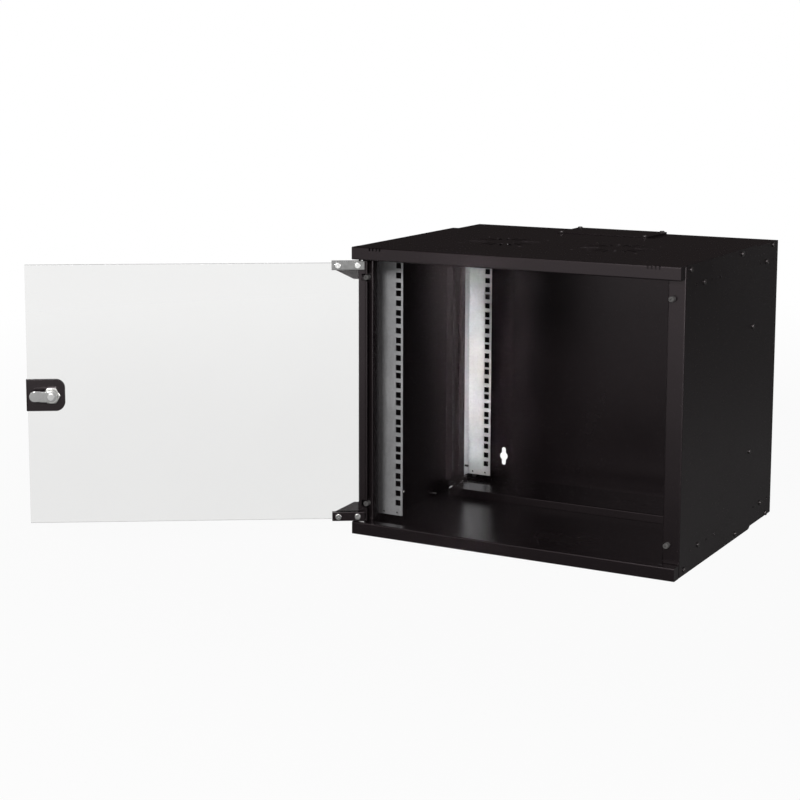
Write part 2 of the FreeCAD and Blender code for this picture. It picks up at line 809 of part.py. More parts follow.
def stiffener(label, side):
    """A C section up the inside of a side panel."""
    brace = Piece(label)
    start, finish = front("stiffener_start"), front("stiffener_end")
    base, rise = INNER, f"({INNER} - stiffener_rise)"
    brace.pad(
        "XY", up("bracket_height"), up("bracket_height", 1),
        polygon(
            (f"{side} * {base}", start), (f"{side} * {base}", finish),
            (f"{side} * {rise}", finish), (f"{side} * {rise}", f"{finish} - stiffener_gauge"),
            (f"{side} * ({base} - stiffener_gauge)", f"{finish} - stiffener_gauge"),
            (f"{side} * ({base} - stiffener_gauge)", f"{start} + stiffener_gauge"),
            (f"{side} * {rise}", f"{start} + stiffener_gauge"), (f"{side} * {rise}", start),
        ),
    )
    brace.pocket(
        "YZ", f"{side} * ({base} - stiffener_gauge)", f"{side} * {base}",
        *[circle(y, z, "screw_radius + screw_fit") for y, z in BRACE_SCREWS],
    )
    return brace


def corner_bracket(label, side, end):
    """An angle in a corner: an upright leg beside the channel's end and a leg out to the side panel."""
    bracket = Piece(label)
    leg = f"({HALF} - bracket_inset)"
    bracket.pad(
        "XZ", front("bracket_start"), front("stiffener_end"),
        polygon(
            (f"{side} * {leg}", up("bracket_height", end)), (f"{side} * {INNER}", up("bracket_height", end)),
            (f"{side} * {INNER}", up("bracket_height - bracket_gauge", end)),
            (f"{side} * ({leg} + bracket_gauge)", up("bracket_height - bracket_gauge", end)),
            (f"{side} * ({leg} + bracket_gauge)", shelf(end)), (f"{side} * {leg}", shelf(end)),
        ),
    )
    bracket.pocket(
        "YZ", f"{side} * {leg}", f"{side} * ({leg} + bracket_gauge)",
        circle(front("bracket_start + bracket_screw_inset"), up("bracket_screw_height", end),
               "screw_radius + screw_fit"),
    )
    return bracket


for end_name, end_sign in (("bottom", -1), ("top", 1)):
    cross_channel(f"cross_channel_{end_name}", end_sign)
    for side_name, side_sign in SIDES:
        corner_bracket(f"corner_bracket_{end_name}_{side_name}", side_sign, end_sign)
for side_name, side_sign in SIDES:
    stiffener(f"side_stiffener_{side_name}", side_sign)

# 19 inch rails


def rail(label, side, face, way):
    """A rail: its face lies at a depth from the front, and its web runs back (way 1) or forward (-1)."""
    strip = Piece(label)
    low, high = up("rail_end"), up("rail_end", 1)
    near, far = front(face), front(f"{face} + rail_gauge")
    web_end = front(f"{face} + rail_web") if way > 0 else front(f"{face} + rail_gauge - rail_web")
    web_start, web_turn = (near, far) if way > 0 else (far, near)
    inner_edge = f"({INNER} - rail_face)"
    strip.pad(
        "XY", low, high,
        polygon(
            (f"{side} * {INNER}", web_start), (f"{side} * {INNER}", web_end),
            (f"{side} * ({INNER} - rail_gauge)", web_end), (f"{side} * ({INNER} - rail_gauge)", web_turn),
            (f"{side} * {inner_edge}", web_turn), (f"{side} * {inner_edge}", web_start),
        ),
    )
    first = "(hole_step + unit_height * (1 - unit_count) / 2)"
    middle = "(rack_pitch / 2)"
    for step in (-1, 0, 1):
        holes = strip.pocket(
            "XZ", near, far,
            rectangle("-hole_size / 2", "hole_size / 2", "-hole_size / 2", "hole_size / 2"),
            centre=(f"{side} * {middle}", f"unit_height * (1 - unit_count) / 2 + {step} * hole_step"),
        )
        strip.repeat(holes, "unit_height", "unit_count")
    strip.pocket(
        "XZ", near, far,
        *[circle(f"{side} * ({edge})", up("rail_end + rail_mark_inset", end), "rail_mark_radius")
          for edge in (f"{inner_edge} + rail_mark_edge", f"{INNER} - rail_mark_edge") for end in (-1, 1)],
    )
    spot = f"{face} + rail_screw_inset" if way > 0 else f"{face} - rail_screw_rear_inset"
    strip.pocket(
        "YZ", f"{side} * ({INNER} - rail_gauge)", f"{side} * {INNER}",
        *[circle(front(spot), up("rail_screw_height", end), "screw_radius + screw_fit") for end in (-1, 1)],
    )
    return strip


for side_name, side_sign in SIDES:
    rail(f"front_rail_{side_name}", side_sign, "rail_front", 1)
    rail(f"rear_rail_{side_name}", side_sign, "rail_rear", -1)

# Screws of the case

case_screw = screw_template("case_screw", "screw_radius", "screw_length", "head_radius", "head_height")
cover_screw = screw_template(
    "cover_screw", "screw_radius", "cover_screw_length", "head_radius", "head_height",
)
for side_name, side_sign in SIDES:
    for kind, spots in (("panel", SIDE_SCREWS), ("rail", RAIL_SCREWS), ("stiffener", BRACE_SCREWS)):
        group(f"{kind}_screws_{side_name}", case_screw, [
            (f"{side_sign} * {HALF}", y, z, (side_sign, 0, 0)) for y, z in spots
        ])
group("bracket_screws", case_screw, [
    (f"{side} * ({HALF} - bracket_inset)", front("bracket_start + bracket_screw_inset"),
     up("bracket_screw_height", end), (-side, 0, 0))
    for side in (-1, 1) for end in (-1, 1)
])
group("cover_screws", cover_screw, [
    (x, y, up("rear_step_top - cover_rise", 1), (0, 0, 1)) for x, y in COVER_SCREWS
])

# Rubber bumpers: a round nose, a stem through the side panel's face and a bulb behind it


def bumper_template():
    """One bumper along +Z, with its seat at z 0."""
    nose = doc.addObject("Part::Cylinder", "bumper_nose")
    nose.setExpression("Radius", linked("bumper_radius"))
    nose.setExpression("Height", linked("bumper_length - bumper_round"))
    tip = doc.addObject("Part::Cone", "bumper_tip")
    tip.setExpression("Radius1", linked("bumper_radius"))
    tip.setExpression("Radius2", linked("bumper_radius - bumper_round"))
    tip.setExpression("Height", linked("bumper_round"))
    tip.setExpression("Placement.Base.z", linked("bumper_length - bumper_round"))
    stem = doc.addObject("Part::Cylinder", "bumper_stem_part")
    stem.setExpression("Radius", linked("bumper_stem"))
    stem.setExpression("Height", linked("gauge + bumper_bulb"))
    stem.setExpression("Placement.Base.z", linked("-gauge - bumper_bulb"))
    bulb = doc.addObject("Part::Cone", "bumper_bulb_part")
    bulb.setExpression("Radius1", linked("bumper_stem * 0.6"))
    bulb.setExpression("Radius2", linked("bumper_bulb"))
    bulb.setExpression("Height", linked("bumper_bulb"))
    bulb.setExpression("Placement.Base.z", linked("-gauge - bumper_bulb"))
    whole = doc.addObject("Part::MultiFuse", "bumper")
    whole.Shapes = [nose, tip, stem, bulb]
    doc.recompute()
    return whole


group("door_bumpers", bumper_template(), [
    (f"{side} * ({HALF} - bumper_inset)", front("face_setback"), up("bumper_height", end), (0, -1, 0))
    for side in (-1, 1) for end in (-1, 1)
])

# Door, drawn in its own frame: x from the hinge axis along the glass, y inwards from the glass middle.
# Each piece is then hung on the hinge axis and turned open.

GLASS_END = "(width - hinge_inset - glass_edge_gap - lock_lining - lock_plate_gauge)"
FACE = "(glass_thickness / 2)"
SEAT = f"({FACE} + pad_thickness)"     # faces of the hinge frame and of the clamps
LOCK_X = f"({GLASS_END} - lock_inset)"
CLAMP_SCREWS = ("clamp_screw_near", "clamp_screw_far")


def door_level(gap, end, more="0"):
    """Row Z of a level in from a lip's edge."""
    return up(f"lip_height + {gap} + ({more})", end)


def clamp_axis(end):
    """Row Z of the clamp screws at the bottom or the top."""
    return door_level("frame_gap", end, "arm_height / 2")


def notch_for_screws(piece, end, start, finish):
    """Notches open to the glass edge, round the clamp screws, between two depths of the door."""
    for spot in CLAMP_SCREWS:
        piece.pocket("XZ", start, finish, circle(spot, clamp_axis(end), "notch_radius"))
        piece.pocket(
            "XZ", start, finish,
            rectangle(
                f"{spot} - notch_radius", f"{spot} + notch_radius",
                door_level("glass_gap", end, "-1"), clamp_axis(end),
            ),
        )


def door_glass():
    """The pane with its lock hole and the notches round the clamp screws."""
    pane = Piece("door_glass")
    bottom, top = door_level("glass_gap", -1), door_level("glass_gap", 1)
    pane.pad("XZ", f"-{FACE}", FACE, rectangle("glass_start", GLASS_END, bottom, top))
    for end in (-1, 1):
        notch_for_screws(pane, end, f"-{FACE}", FACE)
    pane.pocket("XZ", f"-{FACE}", FACE, circle(LOCK_X, "0", "barrel_radius + 2 * barrel_fit"))
    return hang(pane.body)


def hinge_frame():
    """The C-shaped plate on the outside of the glass, its rim and its two pin tabs."""
    frame = Piece("hinge_frame")
    bottom, top = door_level("frame_gap", -1), door_level("frame_gap", 1)
    halves = {
        end: [
            ("-frame_outer", door_level("frame_gap", end)),
            ("arm_length", door_level("frame_gap", end)),
            ("arm_length", door_level("frame_gap", end, "arm_height")),
            ("gusset_end", door_level("frame_gap", end, "arm_height")),
            ("gusset_start", door_level("frame_gap", end, "arm_height + gusset_height")),
            ("frame_inner", door_level("frame_gap", end, "arm_height + gusset_height")),
        ]
        for end in (-1, 1)
    }
    plate = (f"-{SEAT} - frame_gauge", f"-{SEAT}")
    frame.pad("XZ", *plate, polygon(*halves[-1], *reversed(halves[1])))
    frame.pad(
        "YZ", "-frame_outer", "frame_gauge - frame_outer",
        rectangle(f"-{SEAT}", f"frame_rim - {SEAT} - frame_gauge", bottom, top),
    )
    for end in (-1, 1):
        frame.pad(
            "XY", door_level("frame_gap", end), door_level("frame_gap", end, "frame_gauge"),
            rectangle("frame_gauge - frame_outer", "-clamp_start", f"-{SEAT}", FACE),
        )
    frame.pocket("XY", bottom, top, circle("0", "0", "pin_radius + pin_fit"))
    for end in (-1, 1):
        frame.pocket(
            "XZ", *plate,
            *[circle(spot, clamp_axis(end), "screw_radius + screw_fit") for spot in CLAMP_SCREWS],
        )
        notch = [up(f"bumper_height + {step} * (bumper_radius + relief)", end) for step in (-1, 1)]
        frame.pocket("XZ", plate[0], "frame_rim", rectangle("-frame_outer - 1", "0", *notch))
    return hang(frame.body)


def clamp(label, end):
    """The strip that holds the glass against the hinge frame's arm."""
    strip = Piece(label)
    levels = door_level("frame_gap", end), door_level("frame_gap", end, "arm_height")
    outer = f"{SEAT} + clamp_gauge"
    strip.pad("XZ", SEAT, outer, rectangle("clamp_start", "arm_length", *levels))
    strip.round("clamp_round", along(0, *[(outer, level) for level in levels]))
    strip.pocket(
        "XZ", SEAT, outer,
        *[circle(spot, clamp_axis(end), "screw_radius + screw_fit") for spot in CLAMP_SCREWS],
    )
    return hang(strip.body)


def clamp_pad(label, end, side):
    """A soft pad between the glass and a clamp (side 1) or the hinge frame (side -1)."""
    pad = Piece(label)
    levels = door_level("glass_gap", end), door_level("frame_gap", end, "arm_height")
    start, finish = f"{side} * {FACE}", f"{side} * {SEAT}"
    pad.pad("XZ", start, finish, rectangle("glass_start", "arm_length", *levels))
    notch_for_screws(pad, end, start, finish)
    return hang(pad.body)


def clamp_fasteners():
    """The clamp screws, and the nuts outside the hinge frame."""
    length = f"(2 * {SEAT} + clamp_gauge + frame_gauge + clamp_nut_height)"
    screw = screw_template("clamp_screw", "screw_radius", length, "clamp_head_radius", "clamp_head_height")
    nut = Piece("clamp_nut", exported=False)
    nut.pad(
        "XY", "0", "clamp_nut_height",
        hexagon("0", "0", "clamp_nut_flats"), circle("0", "0", "screw_radius + screw_fit"),
    )
    spots = [(spot, clamp_axis(end)) for spot in CLAMP_SCREWS for end in (-1, 1)]
    inside, outside = f"({SEAT} + clamp_gauge)", f"(-{SEAT} - frame_gauge)"
    hang(group("clamp_screws", screw, [(x, inside, z, (0, 1, 0)) for x, z in spots]))
    hang(group("clamp_nuts", nut.body, [(x, outside, z, (0, -1, 0)) for x, z in spots]))


door_glass()
hinge_frame()
for end_name, end_sign in (("bottom", -1), ("top", 1)):
    clamp(f"hinge_clamp_{end_name}", end_sign)
    clamp_pad(f"clamp_pad_{end_name}_inner", end_sign, 1)
    clamp_pad(f"clamp_pad_{end_name}_outer", end_sign, -1)
clamp_fasteners()


def hinge_pin(label, end):
    """A pin held in the hinge frame's tab that turns in the lip's return."""
    pin = Piece(label)
    pin.pad("XY", door_level("frame_gap", end, "-pin_reach"), door_level("frame_gap", end, "frame_gauge"),
            circle("0", "0", "pin_radius"))
    return hang(pin.body)


hinge_pin("hinge_pin_bottom", -1)
hinge_pin("hinge_pin_top", 1)

washer = Piece("hinge_washer")
washer.pad(
    "XY", up("lip_height"), up("lip_height + frame_gap - washer_clearance"),
    circle("hinge_inset - width / 2", front("hinge_setback"), "washer_radius"),
    circle("hinge_inset - width / 2", front("hinge_setback"), "pin_radius + pin_fit"),
)

# Lock

PLATE = f"({FACE} + lock_lining)"             # inner faces of the lock bracket
SHEET = f"({PLATE} + lock_plate_gauge)"       # its outer faces


def lock_bracket():
    """The folded plate round the glass edge that carries the lock."""
    plate = Piece("lock_bracket")
    finish = f"({GLASS_END} + lock_lining + lock_plate_gauge)"
    start = f"({finish} - lock_plate_length)"
    low, high = "(-lock_plate_height / 2)", "(lock_plate_height / 2)"
    plate.pad("XZ", f"-{SHEET}", SHEET, rectangle(start, finish, low, high))
    plate.round("lock_plate_corner", along(1, (start, low), (start, high)))
    plate.pocket(
        "XZ", f"-{PLATE}", PLATE,
        rectangle(f"{start} - 1", f"{GLASS_END} + lock_lining", f"{low} - 1", f"{high} + 1"),
    )
    plate.pocket("XZ", f"-{SHEET}", SHEET, circle(LOCK_X, "0", "barrel_radius + barrel_fit"))
    return hang(plate.body)


def lock_pad():
    """The soft lining between the lock bracket and the glass."""
    lining = Piece("lock_pad")
    start = f"({GLASS_END} + lock_lining + lock_plate_gauge - lock_plate_length + lock_plate_corner)"
    low, high = "(-lock_plate_height / 2)", "(lock_plate_height / 2)"
    lining.pad("XZ", f"-{PLATE}", PLATE, rectangle(start, f"{GLASS_END} + lock_lining", low, high))
    lining.pocket("XZ", f"-{FACE}", FACE, rectangle(f"{start} - 1", GLASS_END, f"{low} - 1", f"{high} + 1"))
    lining.pocket("XZ", f"-{PLATE}", PLATE, circle(LOCK_X, "0", "barrel_radius + barrel_fit"))
    return hang(lining.body)


def lock_barrel():
    """The threaded housing through the glass, with its round head outside."""
    barrel = Piece("lock_barrel")
    head = f"(-{SHEET} - barrel_head_height)"
    barrel.pad("XZ", head, f"-{SHEET}", circle(LOCK_X, "0", "barrel_head_radius"))
    barrel.pad("XZ", f"-{SHEET}", "barrel_rear", circle(LOCK_X, "0", "barrel_radius"))
    barrel.pocket("XZ", head, "barrel_rear", circle(LOCK_X, "0", "plug_radius + plug_fit"))
    return hang(barrel.body)


def lock_nut():
    """The hexagon nut that holds the barrel from the inside."""
    nut = Piece("lock_nut")
    nut.pad("XZ", SHEET, f"{SHEET} + nut_height", hexagon(LOCK_X, "0", "nut_flats"),
            circle(LOCK_X, "0", "barrel_radius + barrel_fit"))
    return hang(nut.body)


def lock_plug():
    """The key cylinder, which turns in the barrel and carries the cam."""
    plug = Piece("lock_plug")
    head = f"(-{SHEET} - barrel_head_height)"
    plug.pad("XZ", head, "barrel_rear + cam_gap", circle(LOCK_X, "0", "plug_radius"))
    plug.pocket(
        "XZ", head, f"{head} + key_slot_depth",
        rectangle(f"{LOCK_X} - key_slot_width / 2", f"{LOCK_X} + key_slot_width / 2",
                  "-key_slot_length / 2", "key_slot_length / 2"),
    )
    plug.pocket("XZ", "barrel_rear / 2", "barrel_rear + cam_gap", circle(LOCK_X, "0", "cam_bolt_radius"))
    return hang(plug.body)


def lock_cam():
    """The cam: a flat arm with a joggle towards the door and a round tip."""
    cam = Piece("lock_cam")
    base = "(barrel_rear + cam_gap)"
    low = f"({base} - cam_joggle)"
    cam.pad(
        "XY", "-cam_width / 2", "cam_width / 2",
        polygon(
            (f"{LOCK_X} - cam_width / 2", base),
            (f"{LOCK_X} + cam_joggle_start", base),
            (f"{LOCK_X} + cam_joggle_end", low),
            (f"{LOCK_X} + cam_reach", low),
            (f"{LOCK_X} + cam_reach", f"{low} + cam_gauge"),
            (f"{LOCK_X} + cam_joggle_end", f"{low} + cam_gauge"),
            (f"{LOCK_X} + cam_joggle_start", f"{base} + cam_gauge"),
            (f"{LOCK_X} - cam_width / 2", f"{base} + cam_gauge"),
        ),
    )
    cam.round("cam_width / 2 * 0.96", along(1, *[
        (x, f"{end} * cam_width / 2")
        for x in (f"{LOCK_X} - cam_width / 2", f"{LOCK_X} + cam_reach") for end in (-1, 1)
    ]))
    cam.pocket("XZ", base, f"{base} + cam_gauge", circle(LOCK_X, "0", "cam_bolt_radius + screw_fit"))
    return hang(cam.body)


def cam_bolt():
    """The hexagon head bolt that holds the cam on the plug."""
    bolt = Piece("cam_bolt")
    seat = "(barrel_rear + cam_gap + cam_gauge)"
    bolt.pad("XZ", seat, f"{seat} + cam_bolt_height", hexagon(LOCK_X, "0", "cam_bolt_flats"))
    bolt.pad("XZ", "barrel_rear / 2", seat, circle(LOCK_X, "0", "cam_bolt_radius - screw_fit / 2"))
    return hang(bolt.body)


for make in (lock_bracket, lock_pad, lock_barrel, lock_nut, lock_plug, lock_cam, cam_bolt):
    make()

# Checks and export

doc.recompute()
for item in doc.Objects:
    if "Invalid" in item.State or "Error" in item.State:
        raise RuntimeError(f"{item.Name} failed: {item.State}")
os.makedirs("parts", exist_ok=True)
for label, item in parts.items():
    shape = item.Shape
    if shape.isNull() or not shape.isValid() or not shape.Solids:
        raise RuntimeError(f"{label} has no valid solid")
for label, item in parts.items():
    item.Shape.exportStep(f"parts/{label}.step")
print(f"{len(parts)} sub-parts")
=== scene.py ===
import json
import logging
import math
from contextlib import contextmanager
from dataclasses import dataclass
from enum import Enum
from typing import Callable, Iterator, Sequence

import bmesh
import bpy
from mathutils import Matrix, Vector


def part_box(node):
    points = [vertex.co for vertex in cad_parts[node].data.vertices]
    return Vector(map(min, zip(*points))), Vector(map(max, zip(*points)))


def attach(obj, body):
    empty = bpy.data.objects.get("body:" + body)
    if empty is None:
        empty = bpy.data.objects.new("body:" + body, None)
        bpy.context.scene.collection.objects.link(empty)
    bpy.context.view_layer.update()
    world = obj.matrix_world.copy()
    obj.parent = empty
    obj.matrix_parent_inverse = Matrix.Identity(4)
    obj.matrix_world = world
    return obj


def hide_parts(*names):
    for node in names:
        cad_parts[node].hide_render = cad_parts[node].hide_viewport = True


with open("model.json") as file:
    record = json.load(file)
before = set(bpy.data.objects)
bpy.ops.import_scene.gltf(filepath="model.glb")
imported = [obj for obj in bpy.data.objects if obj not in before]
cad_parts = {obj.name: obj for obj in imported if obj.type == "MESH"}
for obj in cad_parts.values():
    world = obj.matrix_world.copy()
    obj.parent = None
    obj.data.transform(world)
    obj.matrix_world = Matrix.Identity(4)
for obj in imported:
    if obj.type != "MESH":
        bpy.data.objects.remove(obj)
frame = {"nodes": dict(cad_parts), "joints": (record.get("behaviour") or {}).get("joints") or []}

LOG = logging.getLogger("cabinet")
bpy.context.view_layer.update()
MM = 0.001
CLOSE = 0.05 * MM
SOFT_ANGLE = 40.0
NOISE_MIDDLE = 0.5
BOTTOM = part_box("bottom_panel")[0].z

Colour = tuple[float, float, float]
Test = Callable[[Vector, Vector], bool]


class Body(Enum):
    """The rigid bodies that pieces ride on."""

    CASE = "case"
    DOOR = "door"
    LOCK = "lock"


# Shading


@dataclass(frozen=True)
class Noise:
    """A cloudy pattern, by its scale and how many finer layers it has."""

    scale: float
    detail: float


@dataclass(frozen=True)
class Relief:
    """How strongly a height pushes the normal, and the height in metres that it stands for."""

    strength: float
    distance: float


class Value:
    """A number that a node socket gives, with arithmetic."""

    def __init__(self, graph: "Graph", socket: bpy.types.NodeSocket) -> None:
        """Wraps a socket of a graph.

        Args:
            graph: the graph that owns the socket.
            socket: the output socket.
        """
        self.graph = graph
        self.socket = socket

    def combine(self, operation: str, first: object, second: object) -> "Value":
        """Adds a Math node on two numbers and returns its result.

        Args:
            operation: the Math node's operation.
            first: a Value or a plain number.
            second: a Value or a plain number.

        Returns:
            The result as a Value.
        """
        node = self.graph.add("ShaderNodeMath", {"operation": operation}, {0: first, 1: second})
        return Value(self.graph, node.outputs[0])

    def __add__(self, other: object) -> "Value":
        """Sum."""
        return self.combine("ADD", self, other)

    __radd__ = __add__

    def __sub__(self, other: object) -> "Value":
        """Difference."""
        return self.combine("SUBTRACT", self, other)

    def __rsub__(self, other: object) -> "Value":
        """Difference from a plain number."""
        return self.combine("SUBTRACT", other, self)

    def __mul__(self, other: object) -> "Value":
        """Product."""
        return self.combine("MULTIPLY", self, other)

    __rmul__ = __mul__

    def __or__(self, other: object) -> "Value":
        """The larger of two numbers."""
        return self.combine("MAXIMUM", self, other)


class Graph:
    """The node tree of one material or of the world."""

    def __init__(self, tree: bpy.types.NodeTree) -> None:
        """Empties a node tree.

        Args:
            tree: the tree to build in.
        """
        self.tree = tree
        tree.nodes.clear()

    def add(self, kind: str, settings: dict[str, object], sockets: dict[object, object]) -> bpy.types.Node:
        """Adds a node.

        Args:
            kind: the node's type name.
            settings: its own settings, set before the sockets.
            sockets: a value, a Value or an output socket for each input, by name or index.

        Returns:
            The node.
        """
        node = self.tree.nodes.new(kind)
        for name, setting in settings.items():
            setattr(node, name, setting)
        for key, given in sockets.items():
            if isinstance(given, Value):
                given = given.socket
            if isinstance(given, bpy.types.NodeSocket):
                self.tree.links.new(given, node.inputs[key])
            else:
                node.inputs[key].default_value = given
        return node

    def place(self, stretch: Sequence[float] = (1, 1, 1)) -> bpy.types.NodeSocket:
        """Object coordinates.

        Args:
            stretch: the factor along each axis.

        Returns:
            The socket of the stretched coordinates.
        """
        where = self.add("ShaderNodeTexCoord", {}, {})
        mapping = self.add("ShaderNodeMapping", {}, {"Vector": where.outputs["Object"], "Scale": stretch})
        return mapping.outputs[0]

    def length(self, vector: bpy.types.NodeSocket) -> Value:
        """The length of a vector."""
        node = self.add("ShaderNodeVectorMath", {"operation": "LENGTH"}, {0: vector})
        return Value(self, node.outputs["Value"])

    def noise(self, vector: bpy.types.NodeSocket, pattern: Noise) -> Value:
        """Cloudy noise from 0 to 1.

        Args:
            vector: the coordinates.
            pattern: the noise's scale and detail.

        Returns:
            The level, from 0 to 1.
        """
        sockets = {"Vector": vector, "Scale": pattern.scale, "Detail": pattern.detail}
        return Value(self, self.add("ShaderNodeTexNoise", {}, sockets).outputs["Fac"])

    def cells(self, vector: bpy.types.NodeSocket, scale: float) -> Value:
        """A random level for each cell of a crystal pattern.

        Args:
            vector: the coordinates.
            scale: how many cells there are in a metre.

        Returns:
            The level, from 0 to 1.
        """
        node = self.add("ShaderNodeTexVoronoi", {}, {"Vector": vector, "Scale": scale})
        split = self.add("ShaderNodeSeparateColor", {}, {0: node.outputs["Color"]})
        return Value(self, split.outputs[0])

    def step(self, value: Value, low: float, high: float) -> Value:
        """A value spread from 0 at low to 1 at high and held there beyond."""
        node = self.add("ShaderNodeMapRange", {}, {0: value, 1: low, 2: high, 3: 0.0, 4: 1.0})
        return Value(self, node.outputs[0])

    def blend(self, factor: Value, first: Colour, second: Colour) -> bpy.types.NodeSocket:
        """A colour between two.

        Args:
            factor: 0 for the first colour and 1 for the second.
            first: the first colour.
            second: the second colour.

        Returns:
            The socket of the colour.
        """
        node = self.add(
            "ShaderNodeMix", {"data_type": "RGBA"},
            {0: factor, 6: (*first, 1.0), 7: (*second, 1.0)},
        )
        return node.outputs[2]

    def bump(self, height: Value, relief: Relief) -> bpy.types.NodeSocket:
        """A normal pushed by a height."""
        sockets = {"Height": height, "Strength": relief.strength, "Distance": relief.distance}
        return self.add("ShaderNodeBump", {}, sockets).outputs[0]

    def seen_rays(self, mirrored: Value) -> Value:
        """How much of the pale background a ray meets.

        Args:
            mirrored: the share of it that gloss shows in this direction or at this place.

        Returns:
            1 for the camera's own rays and those through glass, the share for reflected rays, else 0.
        """
        path = self.add("ShaderNodeLightPath", {}, {})
        direct = Value(self, path.outputs["Is Camera Ray"])
        through = Value(self, path.outputs["Is Transmission Ray"])
        return direct | through | Value(self, path.outputs["Is Glossy Ray"]) * mirrored

    def surface(self, **sockets: object) -> None:
        """Ends a material in one Principled shader.

        Args:
            **sockets: what each input is given, with underscores for the blanks of its name.
        """
        shader = self.add(
            "ShaderNodeBsdfPrincipled", {},
            {name.replace("_", " "): given for name, given in sockets.items()},
        )
        self.add("ShaderNodeOutputMaterial", {}, {"Surface": shader.outputs[0]})


class Finish:
    """A finish that makes its material once."""

    made: dict[str, bpy.types.Material] = {}
    name: str

    def shade(self, graph: Graph) -> None:
        """Builds the node tree."""
        raise NotImplementedError

    def material(self) -> bpy.types.Material:
        """Makes the finish's material, once.

        Returns:
            The material.
        """
        if self.name not in Finish.made:
            material = bpy.data.materials.new(self.name)
            material.use_nodes = True
            self.shade(Graph(material.node_tree))
            Finish.made[self.name] = material
        return Finish.made[self.name]


@dataclass(frozen=True)
class PowderCoat(Finish):
    """Black powder coat: a fine orange peel, faint clouds in its gloss and a little dust."""

    name: str = "black_powder_coat"
    slot: str = "black_paint"
    tint: Colour = (0.0036, 0.0024, 0.0028)
    worn: Colour = (0.0085, 0.0062, 0.0068)
    roughness: float = 0.25
    level: float = 0.5
    sheen: Colour = (1.0, 0.87, 0.91)
    peel: Noise = Noise(900.0, 3.0)
    ripple: Noise = Noise(260.0, 2.0)
    cloud: Noise = Noise(7.0, 5.0)
    dust: Noise = Noise(420.0, 6.0)
    dust_range: tuple[float, float] = (0.68, 0.80)
    cloud_tint: float = 0.5
    dust_tint: float = 0.6
    cloud_haze: float = 0.14
    dust_haze: float = 0.2
    ripple_height: float = 0.8
    relief: Relief = Relief(0.30, 0.00012)

    def shade(self, graph: Graph) -> None:
        """Builds the node tree.

        Args:
            graph: the material's own graph.
        """
        place = graph.place()
        peel = graph.noise(place, self.peel)
        ripple = graph.noise(place, self.ripple)
        cloud = graph.noise(place, self.cloud)
        dust = graph.step(graph.noise(place, self.dust), *self.dust_range)
        haze = (cloud - NOISE_MIDDLE) * self.cloud_haze + dust * self.dust_haze
        graph.surface(
            Base_Color=graph.blend(
                cloud * self.cloud_tint + dust * self.dust_tint, self.tint, self.worn,
            ),
            Roughness=haze + self.roughness,
            Specular_IOR_Level=self.level,
            Specular_Tint=(*self.sheen, 1.0),
            Normal=graph.bump(peel + ripple * self.ripple_height, self.relief),
        )


@dataclass(frozen=True)
class Zinc(Finish):
    """Zinc plate: a fine drawn grain along the part with faint crystals."""

    name: str = "rail_zinc_plate"
    slot: str = "rail_zinc"
    tint: Colour = (0.54, 0.54, 0.55)
    pale: Colour = (0.68, 0.68, 0.69)
    roughness: float = 0.52
    grain: tuple[float, float, float] = (1.0, 1.0, 0.06)
    crystal: float = 300.0
    drawn: Noise = Noise(900.0, 4.0)
    cloud: Noise = Noise(18.0, 4.0)
    crystal_tint: float = 0.35
    cloud_tint: float = 0.65
    drawn_haze: float = 0.22
    cloud_haze: float = 0.10
    crystal_height: float = 0.3
    relief: Relief = Relief(0.18, 0.0001)

    def shade(self, graph: Graph) -> None:
        """Builds the node tree.

        Args:
            graph: the material's own graph.
        """
        place = graph.place()
        drawn = graph.noise(graph.place(self.grain), self.drawn)
        crystals = graph.cells(place, self.crystal)
        cloud = graph.noise(place, self.cloud)
        haze = (drawn - NOISE_MIDDLE) * self.drawn_haze + (cloud - NOISE_MIDDLE) * self.cloud_haze
        graph.surface(
            Base_Color=graph.blend(
                crystals * self.crystal_tint + cloud * self.cloud_tint, self.tint, self.pale,
            ),
            Metallic=1.0,
            Roughness=haze + self.roughness,
            Normal=graph.bump(drawn + crystals * self.crystal_height, self.relief),
        )


@dataclass(frozen=True)
class Rubber(Finish):
    """Matte black rubber."""

    name: str = "black_rubber_mould"
    slot: str = "black_rubber"
    tint: Colour = (0.011, 0.011, 0.011)
    bloom: Colour = (0.035, 0.034, 0.033)
    roughness: float = 0.62
    level: float = 0.35
    grain: Noise = Noise(1500.0, 3.0)
    cloud: Noise = Noise(160.0, 4.0)
    grain_haze: float = 0.15
    relief: Relief = Relief(0.25, 0.0001)

    def shade(self, graph: Graph) -> None:
        """Builds the node tree.

        Args:
            graph: the material's own graph.
        """
        place = graph.place()
        grain = graph.noise(place, self.grain)
        graph.surface(
            Base_Color=graph.blend(graph.noise(place, self.cloud), self.tint, self.bloom),
            Roughness=grain * self.grain_haze + self.roughness,
            Specular_IOR_Level=self.level,
            Normal=graph.bump(grain, self.relief),
        )


@dataclass(frozen=True)
class Glass(Finish):
    """Toughened clear glass with a slightly uneven surface and a faint haze."""

    name: str = "clear_toughened_glass"
    slot: str = "clear_glass"
    tint: Colour = (0.85, 0.85, 0.845)
    haze: Colour = (0.88, 0.88, 0.875)
    roughness: float = 0.01
    index: float = 1.45
    smear: Noise = Noise(6.0, 4.0)
    wave: Noise = Noise(3.0, 1.0)
    smear_haze: float = 0.02
    relief: Relief = Relief(0.05, 0.001)

    def shade(self, graph: Graph) -> None:
        """Builds the node tree.

        Args:
            graph: the material's own graph.
        """
        place = graph.place()
        smear = graph.noise(place, self.smear)
        graph.surface(
            Base_Color=graph.blend(smear, self.tint, self.haze),
            Roughness=smear * self.smear_haze + self.roughness,
            Transmission_Weight=1.0,
            IOR=self.index,
            Normal=graph.bump(graph.noise(place, self.wave), self.relief),
        )


